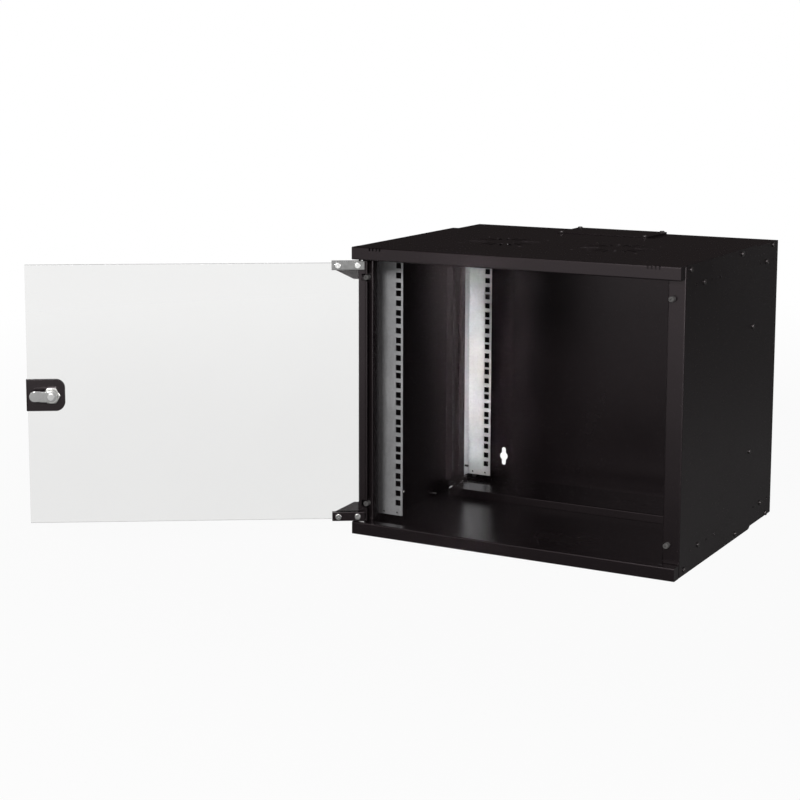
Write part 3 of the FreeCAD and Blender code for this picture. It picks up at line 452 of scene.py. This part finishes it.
COAT = PowderCoat()
SCREW_BLACK = PowderCoat(
    name="black_screw_finish", slot="black_screw", tint=(0.018, 0.017, 0.016), worn=(0.04, 0.04, 0.04),
    roughness=0.27, level=0.6,
)
RAIL_ZINC = Zinc()
BRIGHT_ZINC = Zinc(
    name="bright_zinc_plate", slot="bright_zinc", tint=(0.50, 0.50, 0.495), pale=(0.64, 0.64, 0.63),
    roughness=0.19, grain=(1, 1, 1), crystal=500,
)
# A lighter copy of the bright zinc plate for the clamp screws and the cam bolt: its paler tint is painted
# highlight.
PAINTED_HIGHLIGHT_ZINC = Zinc(
    name="zinc_plate_painted_highlight", slot="bright_zinc", tint=(0.78, 0.78, 0.77), pale=(0.88, 0.88, 0.87),
    roughness=0.2, grain=(1, 1, 1), crystal=500,
)
# A darker copy of the bright zinc plate for the top hinge clamp: its dark tint is painted shade.
PAINTED_SHADE_ZINC = Zinc(
    name="zinc_plate_painted_shade", slot="bright_zinc", tint=(0.20, 0.20, 0.20), pale=(0.34, 0.34, 0.335),
    roughness=0.24, grain=(0.2, 0.2, 1.0), crystal=260,
)
NICKEL = Zinc(
    name="bright_nickel_plate", slot="nickel", tint=(0.70, 0.70, 0.68), pale=(0.80, 0.80, 0.78),
    roughness=0.18, grain=(1, 1, 1), crystal=700,
)
RUBBER = Rubber()
# A lighter copy of the black rubber for the door bumpers: its grey tint is painted highlight.
PAINTED_HIGHLIGHT_RUBBER = Rubber(
    name="bumper_rubber_painted_highlight", slot="black_rubber", tint=(0.045, 0.043, 0.043), bloom=(0.09, 0.087, 0.085),
)
GLASS = Glass()


# Modelling


def deselect() -> None:
    """Leaves nothing selected."""
    if bpy.context.object and bpy.context.object.mode != "OBJECT":
        bpy.ops.object.mode_set(mode="OBJECT")
    bpy.ops.object.select_all(action="DESELECT")


def choose(*objects: bpy.types.Object) -> None:
    """Selects objects.

    Args:
        *objects: the objects, of which the first one is made active.
    """
    deselect()
    for item in objects:
        item.select_set(True)
    bpy.context.view_layer.objects.active = objects[0]


class Solid:
    """A mesh object that is shaped with modelling operators."""

    near = 0.02 * MM
    merge = 0.002 * MM
    flat = math.radians(0.5)
    extra_angle = 8.0
    face_weight = 80

    def __init__(self, item: bpy.types.Object, name: str) -> None:
        """Takes over an object and names it.

        Args:
            item: the object.
            name: the piece's name.
        """
        self.item = item
        item.name = name

    @classmethod
    def cylinder(
        cls, name: str, radius: float, low: float, high: float, sides: int = 40, top: float | None = None
    ) -> "Solid":
        """A cylinder or cone along Z.

        Args:
            name: the piece's name.
            radius: its radius.
            low: height of its lower end.
            high: height of its upper end.
            sides: how many sides it has.
            top: radius of its upper end, if that differs.

        Returns:
            The solid.
        """
        deselect()
        bpy.ops.mesh.primitive_cone_add(
            vertices=sides, radius1=radius, radius2=radius if top is None else top,
            depth=high - low, location=(0, 0, (low + high) / 2),
        )
        solid = cls(bpy.context.object, name)
        solid.settle()
        return solid

    @classmethod
    def block(cls, name: str, low: Sequence[float], high: Sequence[float]) -> "Solid":
        """A block.

        Args:
            name: the piece's name.
            low: its lowest corner.
            high: its highest corner.

        Returns:
            The solid.
        """
        deselect()
        middle = [(a + b) / 2 for a, b in zip(low, high)]
        bpy.ops.mesh.primitive_cube_add(size=1.0, location=middle)
        bpy.context.object.scale = [b - a for a, b in zip(low, high)]
        solid = cls(bpy.context.object, name)
        solid.settle()
        return solid

    @classmethod
    def from_node(cls, node: str, name: str) -> "Solid":
        """A merged copy of a CAD node, with its flat faces whole again.

        Args:
            node: the node's name.
            name: the piece's name.

        Returns:
            The solid.
        """
        deselect()
        source = frame["nodes"][node]
        copy = bpy.data.objects.new(name, source.data.copy())
        copy.data.materials.clear()
        bpy.context.scene.collection.objects.link(copy)
        solid = cls(copy, name)
        with solid.editing():
            bpy.ops.mesh.select_all(action="SELECT")
            bpy.ops.mesh.remove_doubles(threshold=cls.merge)
            bpy.ops.mesh.dissolve_limited(angle_limit=cls.flat)
        return solid

    def settle(self) -> "Solid":
        """Puts the object's place and scale into its mesh.

        Returns:
            The solid.
        """
        choose(self.item)
        bpy.ops.object.transform_apply(location=True, rotation=True, scale=True)
        return self

    @contextmanager
    def editing(self) -> Iterator[None]:
        """Edit mode with nothing selected.

        Yields:
            Nothing: the mode lasts as long as the block.
        """
        choose(self.item)
        bpy.ops.object.mode_set(mode="EDIT")
        bpy.ops.mesh.select_mode(type="FACE")
        bpy.ops.mesh.select_all(action="DESELECT")
        yield
        bpy.ops.object.mode_set(mode="OBJECT")

    def faces(self, test: Test) -> int:
        """Selects faces in edit mode.

        Args:
            test: is given a face's middle and normal.

        Returns:
            How many faces are selected.
        """
        mesh = bmesh.from_edit_mesh(self.item.data)
        count = 0
        for face in mesh.faces:
            chosen = test(face.calc_center_median(), face.normal)
            face.select_set(chosen)
            count += chosen
        mesh.select_flush(True)
        bmesh.update_edit_mesh(self.item.data)
        return count

    def rim(self, height: float, radius: float) -> None:
        """Selects the edges of a ring round Z in edit mode.

        Args:
            height: the ring's height.
            radius: its radius.
        """
        bpy.ops.mesh.select_mode(type="EDGE")
        mesh = bmesh.from_edit_mesh(self.item.data)
        for edge in mesh.edges:
            edge.select_set(all(
                abs(v.co.z - height) < self.near
                and abs(Vector(v.co[:2]).length - radius) < self.near
                for v in edge.verts
            ))
        mesh.select_flush(False)
        bmesh.update_edit_mesh(self.item.data)

    def round_rim(self, height: float, radius: float, width: float, steps: int = 3) -> "Solid":
        """Rounds a ring of edges.

        Args:
            height: the ring's height.
            radius: its radius.
            width: how far the round reaches.
            steps: how many faces it has.

        Returns:
            The solid.
        """
        with self.editing():
            self.rim(height, radius)
            bpy.ops.mesh.bevel(offset=width, segments=steps, affect="EDGES")
        return self

    def modify(self, kind: str, **settings: object) -> "Solid":
        """Adds a modifier and applies it.

        Args:
            kind: the modifier's type.
            **settings: its settings.

        Returns:
            The solid.
        """
        choose(self.item)
        modifier = self.item.modifiers.new(kind.lower(), kind)
        for name, setting in settings.items():
            setattr(modifier, name, setting)
        bpy.ops.object.modifier_apply(modifier=modifier.name)
        return self

    def cut(self, tool: "Solid", operation: str = "DIFFERENCE") -> "Solid":
        """Combines with a tool solid, which is used up.

        Args:
            tool: the other solid.
            operation: the boolean operation.

        Returns:
            The solid.
        """
        self.modify("BOOLEAN", operation=operation, solver="EXACT", object=tool.item)
        bpy.data.objects.remove(tool.item)
        return self

    def join(self, *others: "Solid") -> "Solid":
        """Takes other solids into this one as loose parts.

        Args:
            *others: the other solids.

        Returns:
            The solid.
        """
        choose(self.item, *[other.item for other in others])
        bpy.ops.object.join()
        return self

    def soften(self, width: float, steps: int = 2, angle: float = 32.0) -> "Solid":
        """Breaks the sharp edges and shades the solid smooth across them.

        Args:
            width: the width of a broken edge.
            steps: how many faces it has.
            angle: the least angle in degrees of an edge that is broken.

        Returns:
            The solid.
        """
        self.modify(
            "BEVEL", width=width, segments=steps, limit_method="ANGLE", angle_limit=math.radians(angle),
            use_clamp_overlap=True, harden_normals=False,
        )
        return self.smooth(angle + self.extra_angle)

    def smooth(self, angle: float = 35.0) -> "Solid":
        """Shades smooth, with flat faces kept flat.

        Args:
            angle: the largest angle in degrees that is smoothed.

        Returns:
            The solid.
        """
        choose(self.item)
        bpy.ops.object.shade_smooth_by_angle(angle=math.radians(angle))
        return self.modify("WEIGHTED_NORMAL", keep_sharp=True, weight=self.face_weight)

    def moved(self, place: Matrix) -> "Solid":
        """Moves the mesh itself.

        Args:
            place: the matrix to move it by.

        Returns:
            The solid.
        """
        self.item.data.transform(place)
        self.item.data.update()
        return self

    def copies(self, name: str, places: Sequence[Matrix]) -> "Solid":
        """One object with a copy of this mesh at each place. This solid is used up.

        Args:
            name: the new object's name.
            places: a matrix for each copy.

        Returns:
            The new solid.
        """
        made = []
        for place in places:
            copy = bpy.data.objects.new(name, self.item.data.copy())
            bpy.context.scene.collection.objects.link(copy)
            made.append(Solid(copy, name).moved(place))
        bpy.data.objects.remove(self.item)
        whole = made[0].join(*made[1:]) if len(made) > 1 else made[0]
        whole.item.name = name
        return whole

    def dress(self, finish: Finish, body: Body, *nodes: str) -> "Solid":
        """Gives the finished piece what the model needs to know of it.

        Args:
            finish: its finish.
            body: the body that it rides on.
            *nodes: the CAD nodes that it stands for.

        Returns:
            The solid.
        """
        self.item.data.materials.clear()
        self.item.data.materials.append(finish.material())
        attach(self.item, body.value)
        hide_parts(*nodes)
        LOG.info("%s rides on %s", self.item.name, body.value)
        return self


def islands(node: str) -> list[list[Vector]]:
    """The points of each separate solid of a CAD node.

    Args:
        node: the node's name.

    Returns:
        A list of points for each solid, from the lowest to the highest.
    """
    mesh = bmesh.new()
    mesh.from_mesh(frame["nodes"][node].data)
    bmesh.ops.remove_doubles(mesh, verts=mesh.verts, dist=Solid.merge)
    groups = []
    seen: set[int] = set()
    for start in mesh.verts:
        if start.index in seen:
            continue
        seen.add(start.index)
        queue, points = [start], []
        while queue:
            vert = queue.pop()
            points.append(vert.co.copy())
            for edge in vert.link_edges:
                other = edge.other_vert(vert)
                if other.index not in seen:
                    seen.add(other.index)
                    queue.append(other)
        groups.append(points)
    mesh.free()
    return sorted(groups, key=lambda points: min(tuple(p) for p in points))


def upright(axis: Vector, points: Sequence[Vector]) -> tuple[Matrix, float, float]:
    """The frame of a round solid whose axis is known.

    Args:
        axis: the way that its own +Z points.
        points: its points.

    Returns:
        A matrix from its own frame, with +Z along the axis and the origin on it, and the span of the
        points along the axis.
    """
    turn = axis.normalized().to_track_quat("Z", "Y").to_matrix()
    local = [turn.transposed() @ p for p in points]
    across = [(min(p[k] for p in local) + max(p[k] for p in local)) / 2 for k in range(2)]
    origin = turn @ Vector((*across, 0.0))
    return Matrix.Translation(origin) @ turn.to_4x4(), min(p.z for p in local), max(p.z for p in local)


def inner_normal() -> Vector:
    """The way that the door's inner face looks at rest, from the lock's axis."""
    joint = next(j for j in frame["joints"] if j["name"] == "lock_turn")
    return Vector(joint["axis"]).normalized()


def outwards(points: Sequence[Vector]) -> Vector:
    """The way out of the case at the side where the points lie."""
    return Vector((math.copysign(1.0, points[0].x), 0, 0))


def inwards(points: Sequence[Vector]) -> Vector:
    """The way into the case from the side where the points lie."""
    return -outwards(points)


def upwards(points: Sequence[Vector]) -> Vector:
    """The way up."""
    return Vector((0, 0, 1))


def off_the_door(points: Sequence[Vector]) -> Vector:
    """The way that the door's inner face looks."""
    return inner_normal()


def chamfer_hexagons(
    solid: Solid, node: str, axis: Vector, land: float = 0.97, slope: float = 30.0, sides: int = 64
) -> None:
    """Turns the corners off one end of hexagons.

    Args:
        solid: the copy of the node.
        node: the CAD node, for the places of its solids.
        axis: the way that the turned end looks.
        land: radius of the flat that is left, as a share of half the width across flats.
        slope: the angle in degrees between the end and the chamfer.
        sides: how many sides the turned cone has.
    """
    tools = []
    for points in islands(node):
        place, low, high = upright(axis, points)
        local = [place.inverted() @ p for p in points]
        flats = max(Vector(p[:2]).length for p in local) * math.cos(math.pi / 6)
        end = flats * land
        start = end + (high - low + MM) / math.tan(math.radians(slope))
        tools.append(Solid.cylinder("turning", start, low - MM, high, sides, top=end).moved(place))
    tool = tools[0].join(*tools[1:]) if len(tools) > 1 else tools[0]
    solid.cut(tool, "INTERSECT")


# Sub-assemblies


@dataclass
class FoldedSheets:
    """The folded sheet parts, each with its edges broken and shaded as bent metal."""

    edge: float = 0.35 * MM
    thick_edge: float = 0.5 * MM
    case_nodes: tuple[str, ...] = (
        "top_panel", "bottom_panel", "side_panel_left", "side_panel_right", "rear_panel",
        "top_cable_cover", "bottom_cable_plate", "cross_channel_top", "cross_channel_bottom",
        "side_stiffener_left", "side_stiffener_right", "corner_bracket_top_left",
        "corner_bracket_top_right", "corner_bracket_bottom_left", "corner_bracket_bottom_right",
    )
    rail_nodes: tuple[str, ...] = (
        "front_rail_left", "front_rail_right", "rear_rail_left", "rear_rail_right",
    )
    door_nodes: tuple[str, ...] = ("hinge_frame", "hinge_clamp_bottom")
    bracket_fold: float = 2.6 * MM
    bracket_fold_steps: int = 5
    upright_share: float = 0.9

    def sheet(self, node: str, width: float, finish: Finish, body: Body) -> None:
        """Makes one folded part."""
        Solid.from_node(node, f"{node}_sheet").soften(width).dress(finish, body, node)

    def bracket(self) -> None:
        """Makes the lock's bracket, with a round fold over the edge of the glass."""
        bracket = Solid.from_node("lock_bracket", "lock_bracket_sheet")
        hinge = next(Vector(j["pos_m"]) for j in frame["joints"] if j["name"] == "door_hinge")
        normal = inner_normal()
        along = Vector((-normal.y, normal.x, 0.0))
        along = along if along.x < 0 else -along
        reach = max((v.co - hinge).dot(along) for v in bracket.item.data.vertices)
        with bracket.editing():
            bpy.ops.mesh.select_mode(type="EDGE")
            mesh = bmesh.from_edit_mesh(bracket.item.data)
            for edge in mesh.edges:
                way = edge.verts[1].co - edge.verts[0].co
                edge.select_set(
                    abs(way.z) > self.upright_share * way.length
                    and all((v.co - hinge).dot(along) > reach - CLOSE for v in edge.verts)
                )
            bmesh.update_edit_mesh(bracket.item.data)
            bpy.ops.mesh.bevel(
                offset=self.bracket_fold, segments=self.bracket_fold_steps, affect="EDGES",
            )
        bracket.soften(self.edge).dress(COAT, Body.DOOR, "lock_bracket")

    def build(self) -> None:
        """Makes all folded parts."""
        for node in self.case_nodes:
            self.sheet(node, self.edge, COAT, Body.CASE)
        for node in self.rail_nodes:
            self.sheet(node, self.edge, RAIL_ZINC, Body.CASE)
        for node in self.door_nodes:
            self.sheet(node, self.thick_edge, COAT, Body.DOOR)
        self.sheet("hinge_clamp_top", self.thick_edge, PAINTED_SHADE_ZINC, Body.DOOR)
        self.bracket()


@dataclass
class Screws:
    """Pan head screws with a cross recess."""

    dome: float = 0.9 * MM
    wing: float = 2.3 * MM
    slit: float = 0.55 * MM
    sink: float = 1.2 * MM
    sink_share: float = 0.5
    tip: float = 0.4 * MM
    head_steps: int = 4
    stem_sides: int = 24
    downward: float = -0.5

    def screw(self, head: float, height: float, shank: float, length: float) -> Solid:
        """One screw along Z with its seat at the origin.

        Args:
            head: radius of the head.
            height: height of the head.
            shank: radius of the shank.
            length: length of the shank.

        Returns:
            The screw.
        """
        solid = Solid.cylinder("screw", head, 0.0, height)
        solid.round_rim(height, head, self.dome, self.head_steps)
        for spread in ((self.wing, self.slit), (self.slit, self.wing)):
            bar = Solid.block(
                "recess", (-spread[0], -spread[1], height - self.sink), (spread[0], spread[1], height + MM),
            )
            with bar.editing():
                bar.faces(lambda middle, normal: normal.z < self.downward)
                bpy.ops.transform.resize(
                    value=(self.sink_share, self.sink_share, 1.0),
                    center_override=(0, 0, height - self.sink),
                )
            solid.cut(bar)
        stem = Solid.cylinder("stem", shank, -length, 0.0, self.stem_sides)
        stem.round_rim(-length, shank, self.tip, 1)
        return solid.join(stem).smooth(SOFT_ANGLE)

    def group(
        self, node: str, axis_of: Callable[[list[Vector]], Vector], finish: Finish, body: Body
    ) -> None:
        """Replaces a CAD node of equal screws.

        Args:
            node: the node.
            axis_of: gives the way that a solid's head points.
            finish: the screws' finish.
            body: the body that they ride on.
        """
        places = []
        for points in islands(node):
            place, low, high = upright(axis_of(points), points)
            local = [place.inverted() @ p for p in points]
            head = max(Vector(p[:2]).length for p in local)
            seat = min(p.z for p in local if Vector(p[:2]).length > head - CLOSE)
            shank = max(Vector(p[:2]).length for p in local if p.z < low + CLOSE)
            sizes = (head, high - seat, shank, seat - low)
            places.append(place @ Matrix.Translation((0, 0, seat)))
        self.screw(*sizes).copies(f"{node}_set", places).dress(finish, body, node)

    def build(self) -> None:
        """Makes all screws."""
        for side in ("left", "right"):
            for kind in ("panel_screws", "rail_screws", "stiffener_screws"):
                self.group(f"{kind}_{side}", outwards, SCREW_BLACK, Body.CASE)
        self.group("bracket_screws", inwards, BRIGHT_ZINC, Body.CASE)
        self.group("cover_screws", upwards, SCREW_BLACK, Body.CASE)
        self.group("clamp_screws", off_the_door, PAINTED_HIGHLIGHT_ZINC, Body.DOOR)


@dataclass
class Bumpers:
    """Soft rubber bumpers with a rounded nose, a hollow in it, and a stem with a bulb."""

    nose: float = 1.4 * MM
    hollow: float = 1.1 * MM
    hollow_depth: float = 2.5 * MM
    neck: float = 2.2 * MM
    bulb: float = 3.1 * MM
    tip: float = 1.3 * MM
    wall: float = 1.2 * MM
    nose_sides: int = 36
    nose_steps: int = 5
    hollow_sides: int = 20
    stem_sides: int = 24

    def bumper(self, radius: float, height: float, depth: float) -> Solid:
        """One bumper along Z with its seat at the origin.

        Args:
            radius: its radius.
            height: how far its nose stands out.
            depth: how far its stem reaches behind the seat.

        Returns:
            The bumper.
        """
        nose = Solid.cylinder("bumper", radius, 0.0, height, self.nose_sides)
        nose.round_rim(height, radius, self.nose, self.nose_steps)
        floor = height - self.hollow_depth
        nose.cut(Solid.cylinder("drill", self.hollow, floor, height + MM, self.hollow_sides))
        stem = Solid.cylinder("stem", self.tip, -depth, -self.wall, self.stem_sides, top=self.bulb)
        neck = Solid.cylinder("neck", self.neck, -self.wall, 0.0, self.stem_sides)
        return nose.join(stem, neck).smooth(SOFT_ANGLE)

    def build(self) -> None:
        """Makes the four bumpers."""
        places = []
        for points in islands("door_bumpers"):
            place, low, high = upright(Vector((0, -1, 0)), points)
            local = [place.inverted() @ p for p in points]
            radius = max(Vector(p[:2]).length for p in local)
            seat = min(p.z for p in local if Vector(p[:2]).length > radius - CLOSE)
            size = (radius, high - seat, seat - low)
            places.append(place @ Matrix.Translation((0, 0, seat)))
        self.bumper(*size).copies("door_bumpers_set", places).dress(PAINTED_HIGHLIGHT_RUBBER, Body.CASE, "door_bumpers")


@dataclass
class Pane:
    """The toughened glass pane with ground edges."""

    chamfer: float = 0.6 * MM
    chamfer_angle: float = 32.0
    smooth_angle: float = 30.0

    def build(self) -> None:
        """Makes the pane."""
        pane = Solid.from_node("door_glass", "glass_pane")
        pane.modify(
            "BEVEL", width=self.chamfer, segments=1, limit_method="ANGLE",
            angle_limit=math.radians(self.chamfer_angle),
        )
        pane.smooth(self.smooth_angle).dress(GLASS, Body.DOOR, "door_glass")


@dataclass
class Mouldings:
    """The soft pads and linings, with their edges rounded."""

    edge: float = 0.12 * MM
    nodes: tuple[str, ...] = (
        "clamp_pad_top_inner", "clamp_pad_top_outer", "clamp_pad_bottom_inner", "clamp_pad_bottom_outer",
        "lock_pad",
    )

    def build(self) -> None:
        """Makes the pads."""
        for node in self.nodes:
            Solid.from_node(node, f"{node}_moulding").soften(self.edge).dress(RUBBER, Body.DOOR, node)


@dataclass
class TurnedParts:
    """The hinge pins, the washer and the nuts of the clamps."""

    pin_edge: float = 0.5 * MM
    washer_edge: float = 0.3 * MM
    nut_edge: float = 0.1 * MM
    steps: int = 3

    def build(self) -> None:
        """Makes the hinge's small parts."""
        for end in ("top", "bottom"):
            pin = Solid.from_node(f"hinge_pin_{end}", f"hinge_pin_{end}_turned")
            pin.soften(self.pin_edge, self.steps).dress(BRIGHT_ZINC, Body.DOOR, f"hinge_pin_{end}")
        washer = Solid.from_node("hinge_washer", "hinge_washer_ring")
        washer.soften(self.washer_edge, self.steps).dress(BRIGHT_ZINC, Body.CASE, "hinge_washer")
        nuts = Solid.from_node("clamp_nuts", "clamp_nut_set")
        chamfer_hexagons(nuts, "clamp_nuts", -inner_normal())
        nuts.soften(self.nut_edge).dress(BRIGHT_ZINC, Body.DOOR, "clamp_nuts")


@dataclass
class Lock:
    """The cam lock: threaded barrel, chamfered nut, plug with its key slot, cam and bolt."""

    pitch: float = 1.0 * MM
    thread: float = 0.55 * MM
    thread_end: float = 0.4 * MM
    thread_angle: float = 28.0
    head_edge: float = 0.7 * MM
    head_steps: int = 4
    edge: float = 0.2 * MM
    cam_edge: float = 0.4 * MM
    cam_steps: int = 3

    def barrel(self) -> None:
        """Makes the barrel, with a thread from the bracket to its end and a rounded head."""
        axis = inner_normal()
        points = islands("lock_barrel")[0]
        place, low, high = upright(axis, points)
        barrel = Solid.from_node("lock_barrel", "lock_barrel_turned").moved(place.inverted())
        local = [place.inverted() @ p for p in points]
        spread = sorted({round(Vector(p[:2]).length, 5) for p in local})
        head, shank = spread[-1], spread[-2]
        seat = max(p.z for p in local if Vector(p[:2]).length > head - CLOSE)
        barrel.round_rim(low, head, self.head_edge, self.head_steps)
        count = int((high - seat - self.thread_end) / self.pitch * 2)
        for index in range(1, count + 1):
            level = seat + index * self.pitch / 2
            with barrel.editing():
                bpy.ops.mesh.select_all(action="SELECT")
                bpy.ops.mesh.bisect(plane_co=(0, 0, level), plane_no=(0, 0, 1))
            if index % 2:
                with barrel.editing():
                    barrel.rim(level, shank)
                    share = 1.0 - self.thread / shank
                    bpy.ops.transform.resize(value=(share, share, 1.0), center_override=(0, 0, level))
        barrel.moved(place).smooth(self.thread_angle).dress(NICKEL, Body.DOOR, "lock_barrel")

    def build(self) -> None:
        """Makes the lock."""
        self.barrel()
        nut = Solid.from_node("lock_nut", "lock_nut_hexagon")
        chamfer_hexagons(nut, "lock_nut", inner_normal())
        nut.soften(self.edge).dress(NICKEL, Body.DOOR, "lock_nut")
        plug = Solid.from_node("lock_plug", "lock_plug_turned")
        plug.soften(self.edge).dress(NICKEL, Body.LOCK, "lock_plug")
        cam = Solid.from_node("lock_cam", "lock_cam_pressed")
        cam.soften(self.cam_edge, self.cam_steps).dress(BRIGHT_ZINC, Body.LOCK, "lock_cam")
        bolt = Solid.from_node("cam_bolt", "cam_bolt_hexagon")
        chamfer_hexagons(bolt, "cam_bolt", inner_normal())
        bolt.soften(self.edge).dress(PAINTED_HIGHLIGHT_ZINC, Body.LOCK, "cam_bolt")


# Studio


@dataclass(frozen=True)
class Lamp:
    """A soft rectangular lamp that is not seen itself, with its power in watts and spread in degrees."""

    name: str
    place: tuple[float, float, float]
    aim: tuple[float, float, float]
    size: tuple[float, float]
    power: float
    spread: float = 180.0

    def hang(self) -> None:
        """Makes the lamp."""
        data = bpy.data.lights.new(self.name, "AREA")
        data.shape = "RECTANGLE"
        data.size, data.size_y = self.size
        data.energy = self.power
        data.spread = math.radians(self.spread)
        lamp = bpy.data.objects.new(self.name, data)
        lamp.location = self.place
        way = Vector(self.aim) - Vector(self.place)
        lamp.rotation_euler = way.to_track_quat("-Z", "Y").to_euler()
        lamp.visible_camera = False
        bpy.context.scene.collection.objects.link(lamp)


@dataclass
class Studio:
    """Pale floor, pale surroundings, soft lamps and the camera."""

    place: tuple[float, float, float] = (1.1741, -2.9287, 0.5478)
    yaw: float = 29.96
    pitch: float = 7.97
    roll: float = 0.03
    lens: float = 83.2
    sensor: float = 36.0
    clip: tuple[float, float] = (0.05, 60.0)
    shift: tuple[float, float] = (0.05, -0.125)
    paper: tuple[float, float, float, float] = (0.2, 0.2, 0.2, 1.0)
    front: float = 0.35
    behind: float = 0.03
    lean: float = 0.6
    turn: tuple[float, float] = (0.0, 0.9)
    dusk: Colour = (1.0, 0.84, 0.84)
    floor_lean: float = 0.5
    floor_turn: tuple[float, float] = (0.8, 3.0)
    rear_flags: float = 3.7
    rear_blend: float = 0.5
    rear_share: float = 0.35
    floor_radius: float = 6.0
    floor_sides: int = 96
    floor_near: float = 0.95
    floor_fade: tuple[float, float] = (0.9, 2.6)
    lamps: tuple[Lamp, ...] = (
        Lamp("key", (1.35, -6.1, 2.3), (0.0, -0.25, 0.0), (1.3, 1.1), 300.0),
        Lamp("rail_beam", (1.05, -2.7, 0.0), (-0.245, -0.06, 0.0), (0.05, 0.5), 0.38, 4.0),
        Lamp("edge_strip", (3.0, -0.95, 0.25), (0.25, -0.45, 0.0), (0.5, 1.5), 30.0),
        Lamp("left_softbox", (-0.35, -2.9, 0.85), (0.0, -0.25, 0.1), (1.2, 1.4), 4.0),
        Lamp("top", (0.0, -1.4, 2.3), (0.0, -0.25, 0.0), (1.4, 0.9), 18.0),
    )

    def camera(self) -> None:
        """Sets the camera up."""
        data = bpy.data.cameras.new("camera")
        data.sensor_width = self.sensor
        data.lens = self.lens
        data.shift_x, data.shift_y = self.shift
        data.clip_start, data.clip_end = self.clip
        camera = bpy.data.objects.new("camera", data)
        camera.location = self.place
        turns = (90.0 - self.pitch, self.roll, self.yaw)
        camera.rotation_euler = [math.radians(turn) for turn in turns]
        bpy.context.scene.collection.objects.link(camera)
        bpy.context.scene.camera = camera

    def mirrored(
        self, graph: Graph, where: bpy.types.NodeSocket, lean: float, turn: tuple[float, float]
    ) -> Value:
        """How much of the white surroundings gloss shows at a place or in a direction.

        Args:
            graph: the graph to build in.
            where: the place or the direction, from the middle of the wall face.
            lean: how far the bright side leans to the right of straight ahead.
            turn: the distances along it between which the share rises from 0 to 1.

        Returns:
            The share, which also rises straight behind the cabinet.
        """
        split = graph.add("ShaderNodeSeparateXYZ", {}, {0: where})
        across = Value(graph, split.outputs[0])
        back = Value(graph, split.outputs[1])
        ahead = graph.step(across * lean - back, *turn)
        behind = graph.step(back - (across | across * -1.0) * self.rear_flags, 0.0, self.rear_blend)
        return ahead | behind * self.rear_share

    def floor(self) -> None:
        """A wide floor that is pale where it is seen and still takes the cabinet's shadow."""
        deselect()
        bpy.ops.mesh.primitive_circle_add(
            vertices=self.floor_sides, radius=self.floor_radius, fill_type="NGON",
            location=(0, 0, BOTTOM),
        )
        plane = Solid(bpy.context.object, "studio_floor").settle().item
        material = bpy.data.materials.new("studio_floor_white")
        material.use_nodes = True
        graph = Graph(material.node_tree)
        paper = graph.add("ShaderNodeBsdfDiffuse", {}, {"Color": self.paper})
        glow = graph.add("ShaderNodeEmission", {}, {"Color": (1.0, 1.0, 1.0, 1.0), "Strength": 1.0})
        place = graph.place()
        far = graph.step(graph.length(place), *self.floor_fade)
        mirrored = self.mirrored(graph, place, self.floor_lean, self.floor_turn)
        share = graph.seen_rays(mirrored) * (far * (1.0 - self.floor_near) + self.floor_near)
        mix = graph.add("ShaderNodeMixShader", {}, {0: share, 1: paper.outputs[0], 2: glow.outputs[0]})
        graph.add("ShaderNodeOutputMaterial", {}, {"Surface": mix.outputs[0]})
        plane.data.materials.append(material)

    def world(self) -> None:
        """White surroundings where they are seen; for gloss and light, white in front and dim behind."""
        world = bpy.data.worlds.new("studio")
        bpy.context.scene.world = world
        world.use_nodes = True
        graph = Graph(world.node_tree)
        where = graph.add("ShaderNodeTexCoord", {}, {})
        ahead = self.mirrored(graph, where.outputs["Generated"], self.lean, self.turn)
        seen = graph.seen_rays(ahead)
        strength = seen | (ahead * (self.front - self.behind) + self.behind)
        colour = graph.blend(seen | ahead, self.dusk, (1.0, 1.0, 1.0))
        light = graph.add("ShaderNodeBackground", {}, {"Color": colour, "Strength": strength})
        graph.add("ShaderNodeOutputWorld", {}, {"Surface": light.outputs[0]})

    def build(self) -> None:
        """Makes the studio."""
        self.camera()
        self.floor()
        self.world()
        for lamp in self.lamps:
            lamp.hang()


def main() -> None:
    """Builds the studio and every sub-assembly in order."""
    logging.basicConfig(level=logging.INFO, format="%(message)s")
    bpy.context.scene.view_settings.view_transform = "Standard"
    Studio().build()
    for assembly in (FoldedSheets(), Screws(), Bumpers(), Pane(), Mouldings(), TurnedParts(), Lock()):
        assembly.build()


if __name__ == "__main__":
    main()
